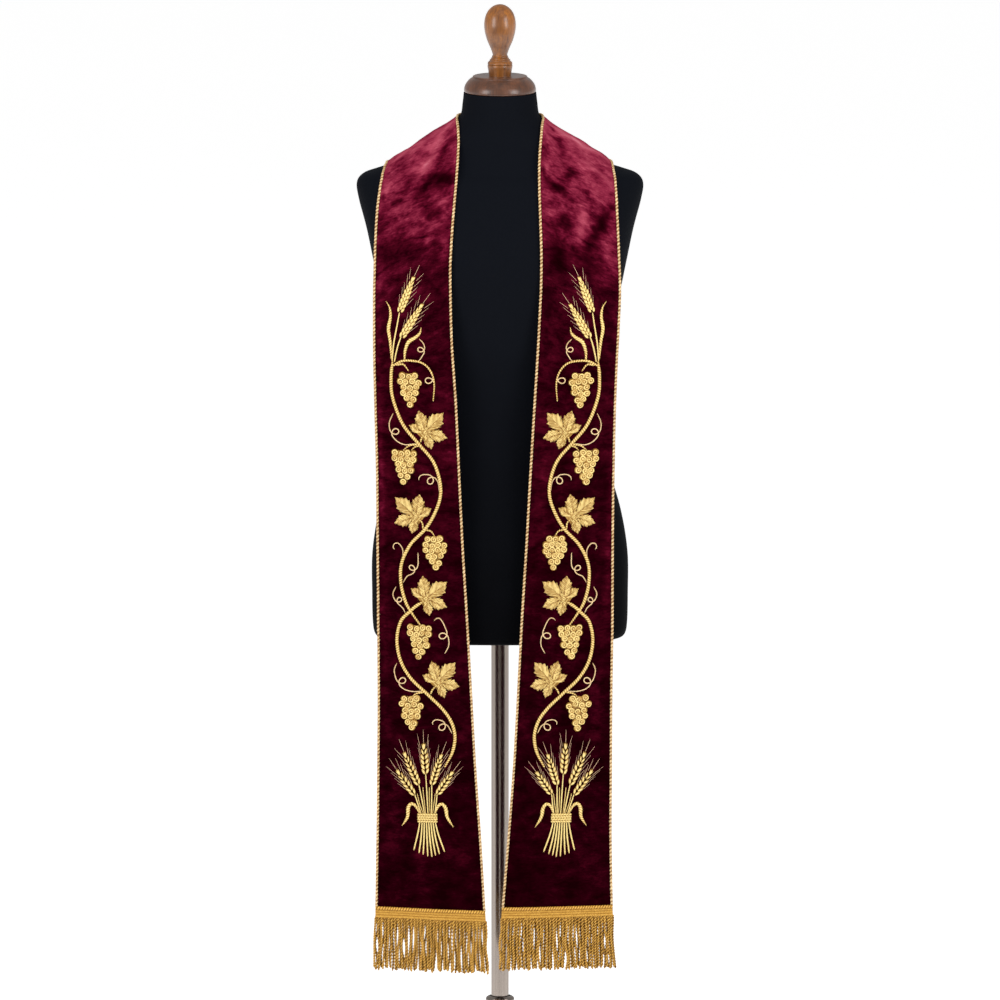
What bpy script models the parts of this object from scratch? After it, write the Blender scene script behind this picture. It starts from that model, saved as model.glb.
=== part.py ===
"""Clerical stole in velvet, on a limbless dress form whose pole slides in a round stand.

Metres, +Z up, and the stole's front faces -Y. The origin is on the floor under the pole.
The stole is two panels that meet in a seam behind the neck. Each has a cord along both of
its edges, a flat braid across its hem and a fringe under the braid.
"""

import math

import bpy
import numpy as np
from mathutils import Vector
from mathutils.bvhtree import BVHTree

MM = 0.001
FIT_GAP = 0.3 * MM  # between two pieces that touch

# Stand
BASE_RADIUS = 160 * MM
BASE_THICKNESS = 8 * MM
BASE_ROUNDING = 2.5 * MM
HUB_RADIUS = 27 * MM
HUB_TOP = 24 * MM
HUB_ROUNDING = 2 * MM
HUB_FLOOR = 5 * MM
TUBE_RADIUS = 17.5 * MM
TUBE_WALL = 2.0 * MM
COLLAR_TOP = 219 * MM
COLLAR_RADIUS = 20 * MM
COLLAR_HEIGHT = 34 * MM
COLLAR_DOME = 5.5 * MM
COLLAR_LIP = 4 * MM
COLLAR_MOUTH_RADIUS = 14.6 * MM
MOUTH_CHAMFER = 0.4 * MM
BUSH_LENGTH = 60 * MM

# Pole
POLE_RADIUS = 12.2 * MM
POLE_WALL = 1.5 * MM
POLE_FOOT = 75 * MM
POLE_IN_FORM = 90 * MM
CUTTER_PAST = 20 * MM  # how far the socket's cutter runs below the form

# Dress form
FORM_BOTTOM = 721 * MM
NECK_TOP = 1477.7 * MM
CAP_BOTTOM = 1478 * MM
CAP_TOP = 1499.7 * MM
FINIAL_BOTTOM = 1500 * MM
TOTAL_HEIGHT = 1600 * MM

# Stole
CLOTH_THICKNESS = 2.5 * MM
CLOTH_CLEARANCE = 1.5 * MM  # from the form to the cloth where it lies on it
FLAT_ALLOWANCE = 0.7 * MM  # a flat cell's middle may be this much nearer to the form
SEAM_GAP = 0.8 * MM  # between the two panels behind the neck
CORD_SEAM_GAP = 1.2 * MM
CORD_RADIUS = 1.8 * MM
CORD_LIFT = 0.6 * MM  # brings the cord's back flush with the panel's
BRAID_THICKNESS = 1.8 * MM
FRINGE_LENGTH = 70 * MM
FRINGE_THICKNESS = 5 * MM
FRINGE_FLARE = 2 * MM
PANEL_CROWN = 4 * MM  # how far a hanging panel bows forward in its middle
HANG_TOP = 1250 * MM  # below this height it hangs free of the form
HANG_FADE = 100 * MM
CROWN_FADE = 200 * MM

# Mesh resolution
TURN_STEPS = 24
FORM_SIDES = 32
FORM_STEPS = 2
BRAID_STEPS = 2
PANEL_COLUMNS = 7
BACK_ROWS = 13
SETTLING_PASSES = 4

# Dress form sections, mm: height, half width, depth to the front, depth to the back, squareness
# of the outline (2 is an ellipse).
FORM_SECTIONS = (
    (721.0, 164, 94, 98, 2.4),
    (725.0, 172, 101, 105, 2.4),
    (740.0, 175.5, 105, 110, 2.4),
    (780.0, 176.5, 107, 112, 2.4),
    (840.0, 176, 107, 112, 2.4),
    (900.0, 166, 103, 103, 2.4),
    (960.0, 148, 97, 89, 2.4),
    (1020.0, 135, 93, 80, 2.4),
    (1080.0, 135, 97, 81, 2.4),
    (1140.0, 148, 108, 89, 2.4),
    (1200.0, 165, 119, 96, 2.4),
    (1242.0, 174, 123, 100, 2.4),
    (1290.0, 184, 116, 102, 2.4),
    (1330.0, 194.5, 101, 100, 2.35),
    (1352.0, 199, 89, 94, 2.3),
    (1364.0, 193, 80, 87, 2.25),
    (1371.0, 175, 73, 79, 2.2),
    (1380.0, 144, 67, 72, 2.15),
    (1396.0, 112, 60, 64, 2.1),
    (1414.0, 86, 56, 58, 2.05),
    (1430.0, 65, 53, 55, 2),
    (1446.0, 54.5, 52, 53, 2),
    (1464.0, 51.5, 51, 51, 2),
    (1477.7, 50, 50, 50, 2),
)

# Neck cap and finial outlines, mm: radius and height above the cap's underside or the finial's foot.
CAP_OUTLINE = ((36.8, 21.7), (39.0, 19.6), (42.6, 16.6), (45.8, 13.0), (48.0, 9.4),
               (49.4, 5.6), (49.7, 2.8), (49.2, 0.8), (48.2, 0.0))
FINIAL_OUTLINE = ((3.0, 99.9), (8.0, 98.4), (14.0, 93.6), (19.0, 85.0), (21.5, 74.5),
                  (20.6, 63.5), (17.0, 50.5), (12.6, 38.5), (9.6, 30.5), (10.8, 28.6),
                  (10.8, 26.4), (12.2, 25.0), (13.6, 22.6), (17.0, 18.6), (17.0, 16.4),
                  (14.0, 13.6), (13.4, 8.0), (14.6, 0.0))

# The edges of each panel from the top of the shoulder to the hem, mm: a row is one line across
# the cloth, from its outer edge to its inner edge. The last two rows are the braid's edges.
# outer x, outer y, outer z, inner x, inner y, inner z, steps to the next row
LEFT_PANEL = (
    (-155, 0, 1377, -54, 0, 1442, 3),
    (-158, -27, 1377, -57, -25, 1435, 3),
    (-163, -55, 1365, -57, -51, 1412, 3),
    (-168.8, -77, 1331, -59.5, -80, 1371, 3),
    (-171.8, -93, 1275, -65.5, -107, 1315, 3),
    (-172.8, -103, 1218, -68.5, -121, 1259, 3),
    (-172.3, -107, 1168, -68.5, -123, 1205, 2),
    (-170.8, -108, 1115, -66, -123, 1136, 2),
    (-169.3, -109, 1058, -60.5, -123, 1062, 2),
    (-167.8, -110, 960, -56, -123, 960, 2),
    (-167.8, -111, 860, -51.5, -123, 860, 2),
    (-167.8, -112, 760, -45.5, -123, 760, 2),
    (-167.3, -113, 660, -40, -123, 660, 2),
    (-167.8, -114, 560, -34.5, -123, 559, 2),
    (-168.8, -116, 460, -27.5, -124, 457, 2),
    (-170.3, -118, 361.5, -21.5, -125, 356, 2),
    (-170.3, -118, 346, -20.5, -125, 340.5, 2),
)
RIGHT_PANEL = (
    (151.5, 0, 1377, 55, 0, 1442, 3),
    (154, -27, 1377, 56.5, -25, 1435, 3),
    (159, -55, 1365, 55.5, -51, 1412, 3),
    (162, -77, 1331, 53, -80, 1371, 3),
    (164.5, -93, 1275, 55, -107, 1315, 3),
    (166, -103, 1218, 56, -121, 1259, 3),
    (164, -107, 1168, 54, -123, 1205, 2),
    (161.5, -108, 1115, 50.5, -123, 1136, 2),
    (159.5, -109, 1058, 46, -123, 1062, 2),
    (157.5, -110, 960, 41, -123, 960, 2),
    (156, -111, 860, 36, -123, 860, 2),
    (155, -112, 760, 30, -123, 760, 2),
    (153.5, -113, 660, 25, -123, 660, 2),
    (153, -114, 560, 19.5, -123, 560, 2),
    (152.5, -116, 460, 12, -124, 460, 2),
    (154, -118, 362.5, 4, -125, 360, 2),
    (154.5, -118, 348, 3, -125, 345, 2),
)
# Behind the neck the edges are quarter ovals, mm: depth behind the pole's axis at the seam, and
# height gained from the shoulder to the seam.
BACK_OUTER_DEPTH, BACK_OUTER_RISE = 106, -33
BACK_INNER_DEPTH, BACK_INNER_RISE = 58, 2
BACK_FALL_POWER = 1.5  # the outer edge falls late on its way to the seam


def material(name, colour, roughness, metallic=0.0):
    made = bpy.data.materials.new(name)
    made.use_nodes = True
    shader = made.node_tree.nodes["Principled BSDF"]
    shader.inputs["Base Color"].default_value = (*colour, 1)
    shader.inputs["Roughness"].default_value = roughness
    shader.inputs["Metallic"].default_value = metallic
    made.diffuse_color = (*colour, 1)
    return made


def start_scene():
    for old in list(bpy.data.objects):
        bpy.data.objects.remove(old, do_unlink=True)
    collections = {}
    for name in ("clerical_stole", "cutters"):
        collections[name] = bpy.data.collections.new(name)
        bpy.context.scene.collection.children.link(collections[name])
    return collections


def add_object(name, data, finish, collection):
    made = bpy.data.objects.new(name, data)
    collection.objects.link(made)
    if finish:
        data.materials.append(finish)
    return made


def turned(name, profile, finish, collection, closed=False, steps=TURN_STEPS):
    """A solid of revolution about Z. The profile holds (radius, height) in metres, down the outside."""
    mesh = bpy.data.meshes.new(name)
    points = [(radius, 0, height) for radius, height in profile]
    edges = [(i, i + 1) for i in range(len(points) - 1)]
    if closed:
        edges.append((len(points) - 1, 0))
    mesh.from_pydata(points, edges, [])
    made = add_object(name, mesh, finish, collection)
    screw = made.modifiers.new("turn", "SCREW")
    screw.steps = steps
    screw.render_steps = steps
    screw.use_merge_vertices = True
    screw.merge_threshold = 0.00005
    screw.use_smooth_shade = True
    return made


def ring(outer, inner, bottom, top):
    """The closed profile of a plain ring or tube."""
    return ((outer, top), (outer, bottom), (inner, bottom), (inner, top))


def corner(centre, radius, start, end, steps=2):
    """Points on an arc in a turned profile, its angles in degrees from +X."""
    angles = np.radians(np.linspace(start, end, steps + 1))
    return [(centre[0] + radius * math.cos(a), centre[1] + radius * math.sin(a)) for a in angles]


def make_stand(collection, steel, black):
    hub_bore = TUBE_RADIUS + FIT_GAP
    hub_arc = corner((HUB_RADIUS - HUB_ROUNDING, HUB_TOP - HUB_ROUNDING), HUB_ROUNDING, 90, 0)
    edge = BASE_RADIUS - BASE_ROUNDING
    top_arc = corner((edge, BASE_THICKNESS - BASE_ROUNDING), BASE_ROUNDING, 90, 0)
    low_arc = corner((edge, BASE_ROUNDING), BASE_ROUNDING, 0, -90)
    profile = [(0, HUB_FLOOR), (hub_bore, HUB_FLOOR), (hub_bore, HUB_TOP)]
    profile += hub_arc + [(HUB_RADIUS, BASE_THICKNESS)] + top_arc + low_arc + [(0, 0)]
    turned("base", profile, steel, collection, steps=40)

    tube_bottom = HUB_FLOOR + FIT_GAP
    tube_top = COLLAR_TOP - COLLAR_LIP - FIT_GAP
    tube_bore = TUBE_RADIUS - TUBE_WALL
    turned("stand_tube", ring(TUBE_RADIUS, tube_bore, tube_bottom, tube_top), steel, collection,
           closed=True)

    collar_bottom = COLLAR_TOP - COLLAR_HEIGHT
    collar_bore = TUBE_RADIUS + FIT_GAP
    dome = corner((COLLAR_RADIUS - COLLAR_DOME, COLLAR_TOP - COLLAR_DOME), COLLAR_DOME, 90, 0)
    profile = [(COLLAR_MOUTH_RADIUS, COLLAR_TOP - MOUTH_CHAMFER)] + dome
    profile += [(COLLAR_RADIUS, collar_bottom), (collar_bore, collar_bottom)]
    profile += [(collar_bore, COLLAR_TOP - COLLAR_LIP), (COLLAR_MOUTH_RADIUS, COLLAR_TOP - COLLAR_LIP)]
    turned("stand_collar", profile, steel, collection, closed=True)

    bush_profile = ring(tube_bore - FIT_GAP, POLE_RADIUS + FIT_GAP, tube_top - BUSH_LENGTH, tube_top)
    turned("collar_bush", bush_profile, black, collection, closed=True)


def smooth_between(rows, steps):
    """The rows of a table joined by Catmull-Rom curves, in the given number of steps after each row."""
    rows = np.asarray(rows, float)
    ends = np.vstack([2 * rows[0] - rows[1], rows, 2 * rows[-1] - rows[-2]])
    made = []
    for i in range(1, len(ends) - 2):
        before, start, end, after = ends[i - 1:i + 3]
        for t in np.arange(steps[i - 1]) / steps[i - 1]:
            made.append(0.5 * (2 * start + (end - before) * t
                               + (2 * before - 5 * start + 4 * end - after) * t ** 2
                               + (3 * start - before - 3 * end + after) * t ** 3))
    made.append(rows[-1])
    return np.array(made)


def form_surface():
    """The form's points as rings from the bottom up, and its faces, triangles on its sides."""
    sections = smooth_between(FORM_SECTIONS, [FORM_STEPS] * len(FORM_SECTIONS))
    angles = np.arange(FORM_SIDES) * 2 * np.pi / FORM_SIDES
    points = []
    for height, half_width, front, back, squareness in sections:
        depth = np.where(np.sin(angles) < 0, front, back)
        power = 2 / squareness
        x = half_width * np.sign(np.cos(angles)) * np.abs(np.cos(angles)) ** power
        y = depth * np.sign(np.sin(angles)) * np.abs(np.sin(angles)) ** power
        points += [Vector((px * MM, py * MM, height * MM)) for px, py in zip(x, y)]
    faces = []
    for row in range(len(sections) - 1):
        for side in range(FORM_SIDES):
            after = (side + 1) % FORM_SIDES
            low, high = row * FORM_SIDES, (row + 1) * FORM_SIDES
            a, b, c, d = low + side, low + after, high + after, high + side
            on_right = points[a].x + points[b].x > 0
            faces += [(a, b, d), (b, c, d)] if on_right else [(a, b, c), (a, c, d)]
    last = (len(sections) - 1) * FORM_SIDES
    faces.append(tuple(reversed(range(FORM_SIDES))))
    faces.append(tuple(range(last, last + FORM_SIDES)))
    return points, faces


def make_form(collections, jersey, wood, steel):
    collection = collections["clerical_stole"]
    points, faces = form_surface()
    mesh = bpy.data.meshes.new("torso")
    mesh.from_pydata(points, [], faces)
    torso = add_object("torso", mesh, jersey, collection)
    mesh.shade_smooth()

    pole_top = FORM_BOTTOM + POLE_IN_FORM
    radius, top, bottom = POLE_RADIUS + FIT_GAP, pole_top + FIT_GAP, FORM_BOTTOM - CUTTER_PAST
    socket = turned("pole_socket_cutter", ((0, top), (radius, top), (radius, bottom), (0, bottom)),
                    None, collections["cutters"])
    socket.hide_render = True
    socket.display_type = "WIRE"
    cut = torso.modifiers.new("pole socket", "BOOLEAN")
    cut.operation = "DIFFERENCE"
    cut.object = socket

    turned("pole", ring(POLE_RADIUS, POLE_RADIUS - POLE_WALL, POLE_FOOT, pole_top), steel,
           collection, closed=True)

    cap = [(0, CAP_TOP)] + [(r * MM, CAP_BOTTOM + h * MM) for r, h in CAP_OUTLINE]
    turned("neck_cap", cap + [(0, CAP_BOTTOM)], wood, collection)
    finial = [(0, TOTAL_HEIGHT)] + [(r * MM, FINIAL_BOTTOM + h * MM) for r, h in FINIAL_OUTLINE]
    turned("finial", finial + [(0, FINIAL_BOTTOM)], wood, collection)
    return BVHTree.FromPolygons(points, faces)


def pushed_clear(points, form, distance):
    """The points, with each that is nearer to the form than the distance moved out to it."""
    moved = points.copy()
    for index in np.ndindex(points.shape[:2]):
        point = Vector(points[index])
        nearest, normal = form.find_nearest(point)[:2]
        height = (point - nearest).dot(normal)
        if height < distance:
            moved[index] = point + normal * (distance - height)
    return moved


def eased(points):
    """Each inner row moved half way to the mean of its two neighbours, down to where it hangs free."""
    share = 0.5 * np.clip((points[1:-1, :, 2:] - HANG_TOP) / HANG_FADE, 0, 1)
    softened = points.copy()
    softened[1:-1] += share * ((points[:-2] + points[2:]) / 2 - points[1:-1])
    return softened


def panel_edges(table):
    """The outer and the inner edge of a panel, from the seam behind the neck to the hem."""
    table = np.array(table, float)
    front = smooth_between(table[:, :6], table[:, 6].astype(int))
    side = np.sign(table[0][0])
    turns = np.linspace(np.pi / 2, 0, BACK_ROWS, endpoint=False)
    seam = side * SEAM_GAP / MM / 2
    back = np.column_stack([
        front[0, 0] * np.cos(turns) + seam * np.sin(turns),
        BACK_OUTER_DEPTH * np.sin(turns),
        front[0, 2] + BACK_OUTER_RISE * np.sin(turns) ** BACK_FALL_POWER,
        front[0, 3] * np.cos(turns) + seam * np.sin(turns),
        BACK_INNER_DEPTH * np.sin(turns),
        front[0, 5] + BACK_INNER_RISE * np.sin(turns),
    ])
    edges = np.vstack([back, front]) * MM
    return edges[:, :3], edges[:, 3:]


def unit(vectors):
    return vectors / np.linalg.norm(vectors, axis=-1, keepdims=True)


def surface_normals(points):
    """Unit normals of a grid, out of the cloth's face side."""
    return unit(np.cross(np.gradient(points, axis=0), np.gradient(points, axis=1)))


def settled(points, form, distance):
    """The points laid on the form at a distance, and smoothed along their columns."""
    for _ in range(SETTLING_PASSES):
        points = eased(pushed_clear(points, form, distance))
    return pushed_clear(points, form, distance)


def cells_cleared(points, form, distance):
    """The points, with the corners of each cell lifted as far as its middle needs."""
    middles = (points[:-1, :-1] + points[1:, :-1] + points[:-1, 1:] + points[1:, 1:]) / 4
    lift = pushed_clear(middles, form, distance) - middles
    moved = points.copy()
    for rows, columns in ((slice(None, -1), slice(None, -1)), (slice(1, None), slice(None, -1)),
                          (slice(None, -1), slice(1, None)), (slice(1, None), slice(1, None))):
        part = moved[rows, columns]
        bigger = np.linalg.norm(lift, axis=2) > np.linalg.norm(part - points[rows, columns], axis=2)
        part[bigger] = (points[rows, columns] + lift)[bigger]
    return moved


def cord_lines(table, form):
    """The centre lines of a panel's two cords, as two columns from -X to +X at the front."""
    side = np.sign(table[0][0])
    lines = np.stack(panel_edges(table), axis=1)
    lines = settled(lines, form, CORD_RADIUS + CLOTH_CLEARANCE)
    lines[0, :, 0] = side * CORD_SEAM_GAP / 2
    return lines if side < 0 else lines[:, ::-1]


def panel_surface(lines, form):
    """A panel's middle surface between its cords: rows from the seam to the hem."""
    side = np.sign(lines[0, 0, 0])
    normals = surface_normals(lines)
    across = unit(lines[:, 1] - lines[:, 0])[:, None]
    along = unit(np.gradient(lines, axis=0))
    square = np.linalg.norm(np.cross(across, along), axis=2)[..., None]
    inset = across * (CORD_RADIUS + 2 * FIT_GAP) / square
    first = lines[:, 0] + inset[:, 0] - normals[:, 0] * CORD_LIFT
    last = lines[:, 1] - inset[:, 1] - normals[:, 1] * CORD_LIFT
    share = np.linspace(0, 1, PANEL_COLUMNS + 1)[None, :, None]
    points = first[:, None] * (1 - share) + last[:, None] * share
    hanging = np.clip((HANG_TOP - points[..., 2]) / CROWN_FADE, 0, 1)
    points[..., 1] -= PANEL_CROWN * hanging * np.sin(np.pi * share[..., 0])
    height = CLOTH_THICKNESS / 2 + CLOTH_CLEARANCE
    points[:, 1:-1] = settled(points[:, 1:-1], form, height)
    points = cells_cleared(pushed_clear(points, form, height), form, height - FLAT_ALLOWANCE)
    points[0, :, 0] = side * SEAM_GAP / 2
    return points


def cloth_wall(name, points, thickness, finish, collection):
    """A wall of cloth on a grid of middle points. The two sides of the stole fold alike."""
    rows, columns = points.shape[:2]
    on_right = points[0, 0, 0] > 0
    faces = []
    for row in range(rows - 1):
        for column in range(columns - 1):
            first = row * columns + column
            cell = (first, first + columns, first + columns + 1, first + 1)
            faces.append(cell[1:] + cell[:1] if on_right else cell)
    mesh = bpy.data.meshes.new(name)
    mesh.from_pydata(points.reshape(-1, 3).tolist(), [], faces)
    made = add_object(name, mesh, finish, collection)
    wall = made.modifiers.new("thickness", "SOLIDIFY")
    wall.thickness = thickness
    wall.offset = 0
    mesh.shade_smooth()
    return made


def make_cord(name, points, finish, collection):
    curve = bpy.data.curves.new(name, "CURVE")
    curve.dimensions = "3D"
    curve.bevel_depth = CORD_RADIUS
    curve.bevel_resolution = 2
    curve.use_fill_caps = True
    line = curve.splines.new("POLY")
    line.points.add(len(points) - 1)
    line.points.foreach_set("co", np.column_stack([points, np.ones(len(points))]).ravel())
    return add_object(name, curve, finish, collection)


def make_edge_cords(side, lines, gold, collection):
    """A cord along each edge of a panel, from the seam to the top of the braid."""
    names = ("outer", "inner") if side == "left" else ("inner", "outer")
    for column, name in enumerate(names):
        path = lines[:-BRAID_STEPS, column].copy()
        path[-1] -= unit(path[-1] - path[-2]) * 2 * FIT_GAP
        make_cord(f"cord_{name}_{side}", path, gold, collection)


def make_hem(side, points, normals, gold, collection):
    """The braid across a panel's last rows, and the fringe under it."""
    rows = points[-BRAID_STEPS - 1:]
    out = normals[-BRAID_STEPS - 1:]
    widened = rows.copy()
    for column, inside in ((0, 1), (-1, -2)):
        outward = unit(rows[:, column] - rows[:, inside])
        widened[:, column] += outward * (2 * CORD_RADIUS + FIT_GAP)
    lift = CLOTH_THICKNESS / 2 + FIT_GAP + BRAID_THICKNESS / 2
    braid = widened + out * lift
    cloth_wall(f"braid_{side}", braid, BRAID_THICKNESS, gold, collection)

    down = np.array([0, 0, -1])
    top = widened[-1] + out[-1] * (FRINGE_THICKNESS - CLOTH_THICKNESS) / 2 + down * 2 * FIT_GAP
    low = top + down * FRINGE_LENGTH
    low[0, 0] -= FRINGE_FLARE
    low[-1, 0] += FRINGE_FLARE
    cloth_wall(f"fringe_{side}", np.stack([top, (top + low) / 2, low]), FRINGE_THICKNESS, gold,
               collection)


def make_stole(form, collection, velvet, gold):
    for side, table in (("left", LEFT_PANEL), ("right", RIGHT_PANEL)):
        lines = cord_lines(table, form)
        points = panel_surface(lines, form)
        normals = surface_normals(points)
        cloth_wall(f"panel_{side}", points, CLOTH_THICKNESS, velvet, collection)
        make_edge_cords(side, lines, gold, collection)
        make_hem(side, points, normals, gold, collection)


def main():
    collections = start_scene()
    steel = material("brushed steel", (0.55, 0.53, 0.51), 0.3, 1.0)
    black = material("black plastic", (0.02, 0.02, 0.02), 0.5)
    jersey = material("black jersey", (0.008, 0.009, 0.013), 0.85)
    wood = material("walnut", (0.22, 0.08, 0.03), 0.35)
    velvet = material("burgundy velvet", (0.13, 0.004, 0.02), 0.8)
    gold = material("gold cord", (0.66, 0.4, 0.1), 0.45, 0.4)
    make_stand(collections["clerical_stole"], steel, black)
    form = make_form(collections, jersey, wood, steel)
    make_stole(form, collections["clerical_stole"], velvet, gold)


main()
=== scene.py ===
import math

import bpy
import numpy as np
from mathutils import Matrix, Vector


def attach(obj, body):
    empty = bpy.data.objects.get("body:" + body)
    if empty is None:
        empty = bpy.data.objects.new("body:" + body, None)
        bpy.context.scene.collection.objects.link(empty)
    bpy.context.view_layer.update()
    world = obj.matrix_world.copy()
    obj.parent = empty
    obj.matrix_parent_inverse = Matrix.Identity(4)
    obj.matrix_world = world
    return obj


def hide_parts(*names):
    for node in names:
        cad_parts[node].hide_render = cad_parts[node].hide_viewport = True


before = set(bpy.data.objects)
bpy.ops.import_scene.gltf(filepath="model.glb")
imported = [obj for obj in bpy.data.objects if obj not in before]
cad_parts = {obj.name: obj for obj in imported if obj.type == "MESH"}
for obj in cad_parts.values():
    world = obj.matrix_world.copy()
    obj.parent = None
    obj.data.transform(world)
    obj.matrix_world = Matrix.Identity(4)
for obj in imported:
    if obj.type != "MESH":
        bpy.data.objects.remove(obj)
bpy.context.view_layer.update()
mm = 0.001
nearAxis = 0.3  # mm, the smallest ring that closes a turned piece


def unit(vectors):
    return vectors / np.maximum(np.linalg.norm(vectors, axis=-1, keepdims=True), 1e-12)


def smoothRows(rows, steps):
    # Catmull-Rom curve through the rows. Between p1 and p2, with t from 0 to 1, it is half of
    # 2 p1 + (p2 - p0) t + (2 p0 - 5 p1 + 4 p2 - p3) t^2 + (3 p1 - p0 - 3 p2 + p3) t^3.
    rows = np.asarray(rows, float)
    ends = np.concatenate([[2 * rows[0] - rows[1]], rows, [2 * rows[-1] - rows[-2]]])
    t = (np.arange(steps) / steps).reshape((1, -1) + (1,) * (rows.ndim - 1))
    p0, p1, p2, p3 = (ends[i:len(ends) - 3 + i, None] for i in range(4))
    curve = 0.5 * (2 * p1 + (p2 - p0) * t + (2 * p0 - 5 * p1 + 4 * p2 - p3) * t ** 2
                   + (3 * p1 - p0 - 3 * p2 + p3) * t ** 3)
    return np.concatenate([curve.reshape((-1,) + rows.shape[1:]), rows[-1:]])


def summed(steps):
    return np.concatenate([[0], np.cumsum(steps)])


def readRows(rows, at, places=None):
    # the rows of a curve or grid, read at other places by straight lines between them
    places = np.arange(len(rows)) if places is None else places
    flat = rows.reshape(len(rows), -1)
    made = np.column_stack([np.interp(at, places, column) for column in flat.T])
    return made.reshape((len(at),) + rows.shape[1:])


def evenRows(rows, count):
    # the same curve or grid, with its rows at equal distances along it, and its length
    rows = np.asarray(rows, float)
    steps = np.linalg.norm(np.diff(rows, axis=0), axis=-1)
    along = summed(steps.reshape(len(steps), -1).mean(axis=1))
    return readRows(rows, np.linspace(0, along[-1], count), along), along[-1]


def softNoise(u, v, seed):
    # smooth random hills, -1 to 1: random heights at whole u and v, eased by 3t^2 - 2t^3 between
    heights = np.random.default_rng(seed).uniform(-1, 1, (64, 64))
    iu, iv = np.floor(u).astype(int), np.floor(v).astype(int)
    fu, fv = u - iu, v - iv
    fu, fv = fu * fu * (3 - 2 * fu), fv * fv * (3 - 2 * fv)
    near, far, iu = iv % 64, (iv + 1) % 64, iu % 64
    low = heights[iu, near] * (1 - fu) + heights[(iu + 1) % 64, near] * fu
    high = heights[iu, far] * (1 - fu) + heights[(iu + 1) % 64, far] * fu
    return low * (1 - fv) + high * fv


def hills(across, along, seed, layers):
    # soft noise in layers: how strong, and the size across and along, mm
    return sum(strength * softNoise(across / wide, along / high, seed + i)
               for i, (strength, wide, high) in enumerate(layers))


def ringAngles(count):
    return np.arange(count) * 2 * np.pi / count


def gridPart(grid, wrap=True, caps=True, wrapRows=False, uv=None, flip=False, tone=1.0):
    # faces over a grid of points, which look out along (next column) x (next row)
    rows, columns = grid.shape[:2]
    index = np.arange(rows * columns).reshape(rows, columns)
    ring0, ring1 = index[0], index[-1]
    if wrap:
        index = np.hstack([index, index[:, :1]])
    if wrapRows:
        index = np.vstack([index, index[:1]])
    if uv is None:
        uv = np.moveaxis(np.indices(index.shape), 0, -1).astype(float)
    low, high = slice(None, -1), slice(1, None)
    corners = [(low, low), (low, high), (high, high), (high, low)]
    quads = np.stack([index[c] for c in corners], -1).reshape(-1, 4)
    places = np.stack([uv[c] for c in corners], -2).reshape(-1, 4, 2)
    if caps:  # an end ring of an even number of points is closed with a strip of quads
        k = np.arange(columns // 2 - 1)
        for ring, row, turned in ((ring0, 0, True), (ring1, -1, False)):
            strip = np.stack([ring[k], ring[k + 1], ring[-2 - k], ring[-1 - k]], -1)
            where = uv[row, :1].repeat(len(k) * 4, 0).reshape(-1, 4, 2)
            quads = np.vstack([quads, strip[:, ::-1] if turned else strip])
            places = np.vstack([places, where])
    if flip:
        quads, places = quads[:, ::-1], places[:, ::-1]
    tone = np.broadcast_to(tone, (rows, columns)).ravel()
    return {"points": grid.reshape(-1, 3), "quads": quads, "uv": places, "tone": tone}


def shellPart(front, back, uv, tone):
    # a closed shell between two grids, the front one facing out
    grid, tones = (np.concatenate([a, b[:, ::-1]], 1) for a, b in ((front, back), (tone, tone)))
    uv = np.concatenate([uv, uv[:, ::-1], uv[:, :1]], axis=1)
    return gridPart(grid, uv=uv, flip=True, tone=tones)


def joined(parts):
    starts = summed([len(part["points"]) for part in parts[:-1]]).astype(int)
    made = {key: np.concatenate([part[key] for part in parts]) for key in ("points", "uv", "tone")}
    made["quads"] = np.vstack([part["quads"] + start for part, start in zip(parts, starts)])
    return made


def addObject(name, data):
    made = bpy.data.objects.new(name, data)
    bpy.context.scene.collection.objects.link(made)
    return made


def buildPiece(name, part, finishes, body, nodes=(), finishOf=None):
    # the part is in mm
    mesh = bpy.data.meshes.new(name)
    points, quads = part["points"] * mm, part["quads"]
    mesh.vertices.add(len(points))
    mesh.vertices.foreach_set("co", np.ascontiguousarray(points, np.float32).ravel())
    mesh.loops.add(quads.size)
    mesh.loops.foreach_set("vertex_index", np.ascontiguousarray(quads, np.int32).ravel())
    mesh.polygons.add(len(quads))
    mesh.polygons.foreach_set("loop_start", np.arange(len(quads), dtype=np.int32) * 4)
    mesh.update(calc_edges=True)
    mesh.uv_layers.new(name="cut").data.foreach_set("uv", part["uv"].astype(np.float32).ravel())
    tones = mesh.attributes.new("tone", "FLOAT", "POINT")
    tones.data.foreach_set("value", part["tone"].astype(np.float32))
    for finish in finishes:
        mesh.materials.append(finish)
    if finishOf is not None:
        mesh.polygons.foreach_set("material_index", finishOf.astype(np.int32))
    mesh.shade_smooth()
    piece = addObject(name, mesh)
    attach(piece, body)
    if nodes:
        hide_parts(*nodes)
    print("made", name, len(quads), "faces")
    return piece


def turnedPart(profile, segments, closed=False):
    # a profile of (radius, height), up the outside, turned about the Z axis. Long steps get a
    # point beside each end, so that the smooth shading turns at the corners only.
    profile = np.asarray(profile, float)
    starts, ends = profile, np.roll(profile, -1, axis=0)
    if not closed:
        starts, ends = starts[:-1], ends[:-1]
    long = np.linalg.norm(ends - starts, axis=1) > 3
    beside = unit(ends - starts) * 0.25
    rows = np.stack([starts, starts + beside, ends - beside], 1)
    rows = rows[np.column_stack([np.ones(len(starts), bool), long, long])]
    profile = rows if closed else np.vstack([rows, profile[-1:]])
    angles = ringAngles(segments)
    grid = np.stack([profile[:, :1] * np.cos(angles), profile[:, :1] * np.sin(angles),
                     profile[:, 1:].repeat(segments, 1)], -1)
    return gridPart(grid, wrapRows=closed, caps=not closed)


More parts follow.
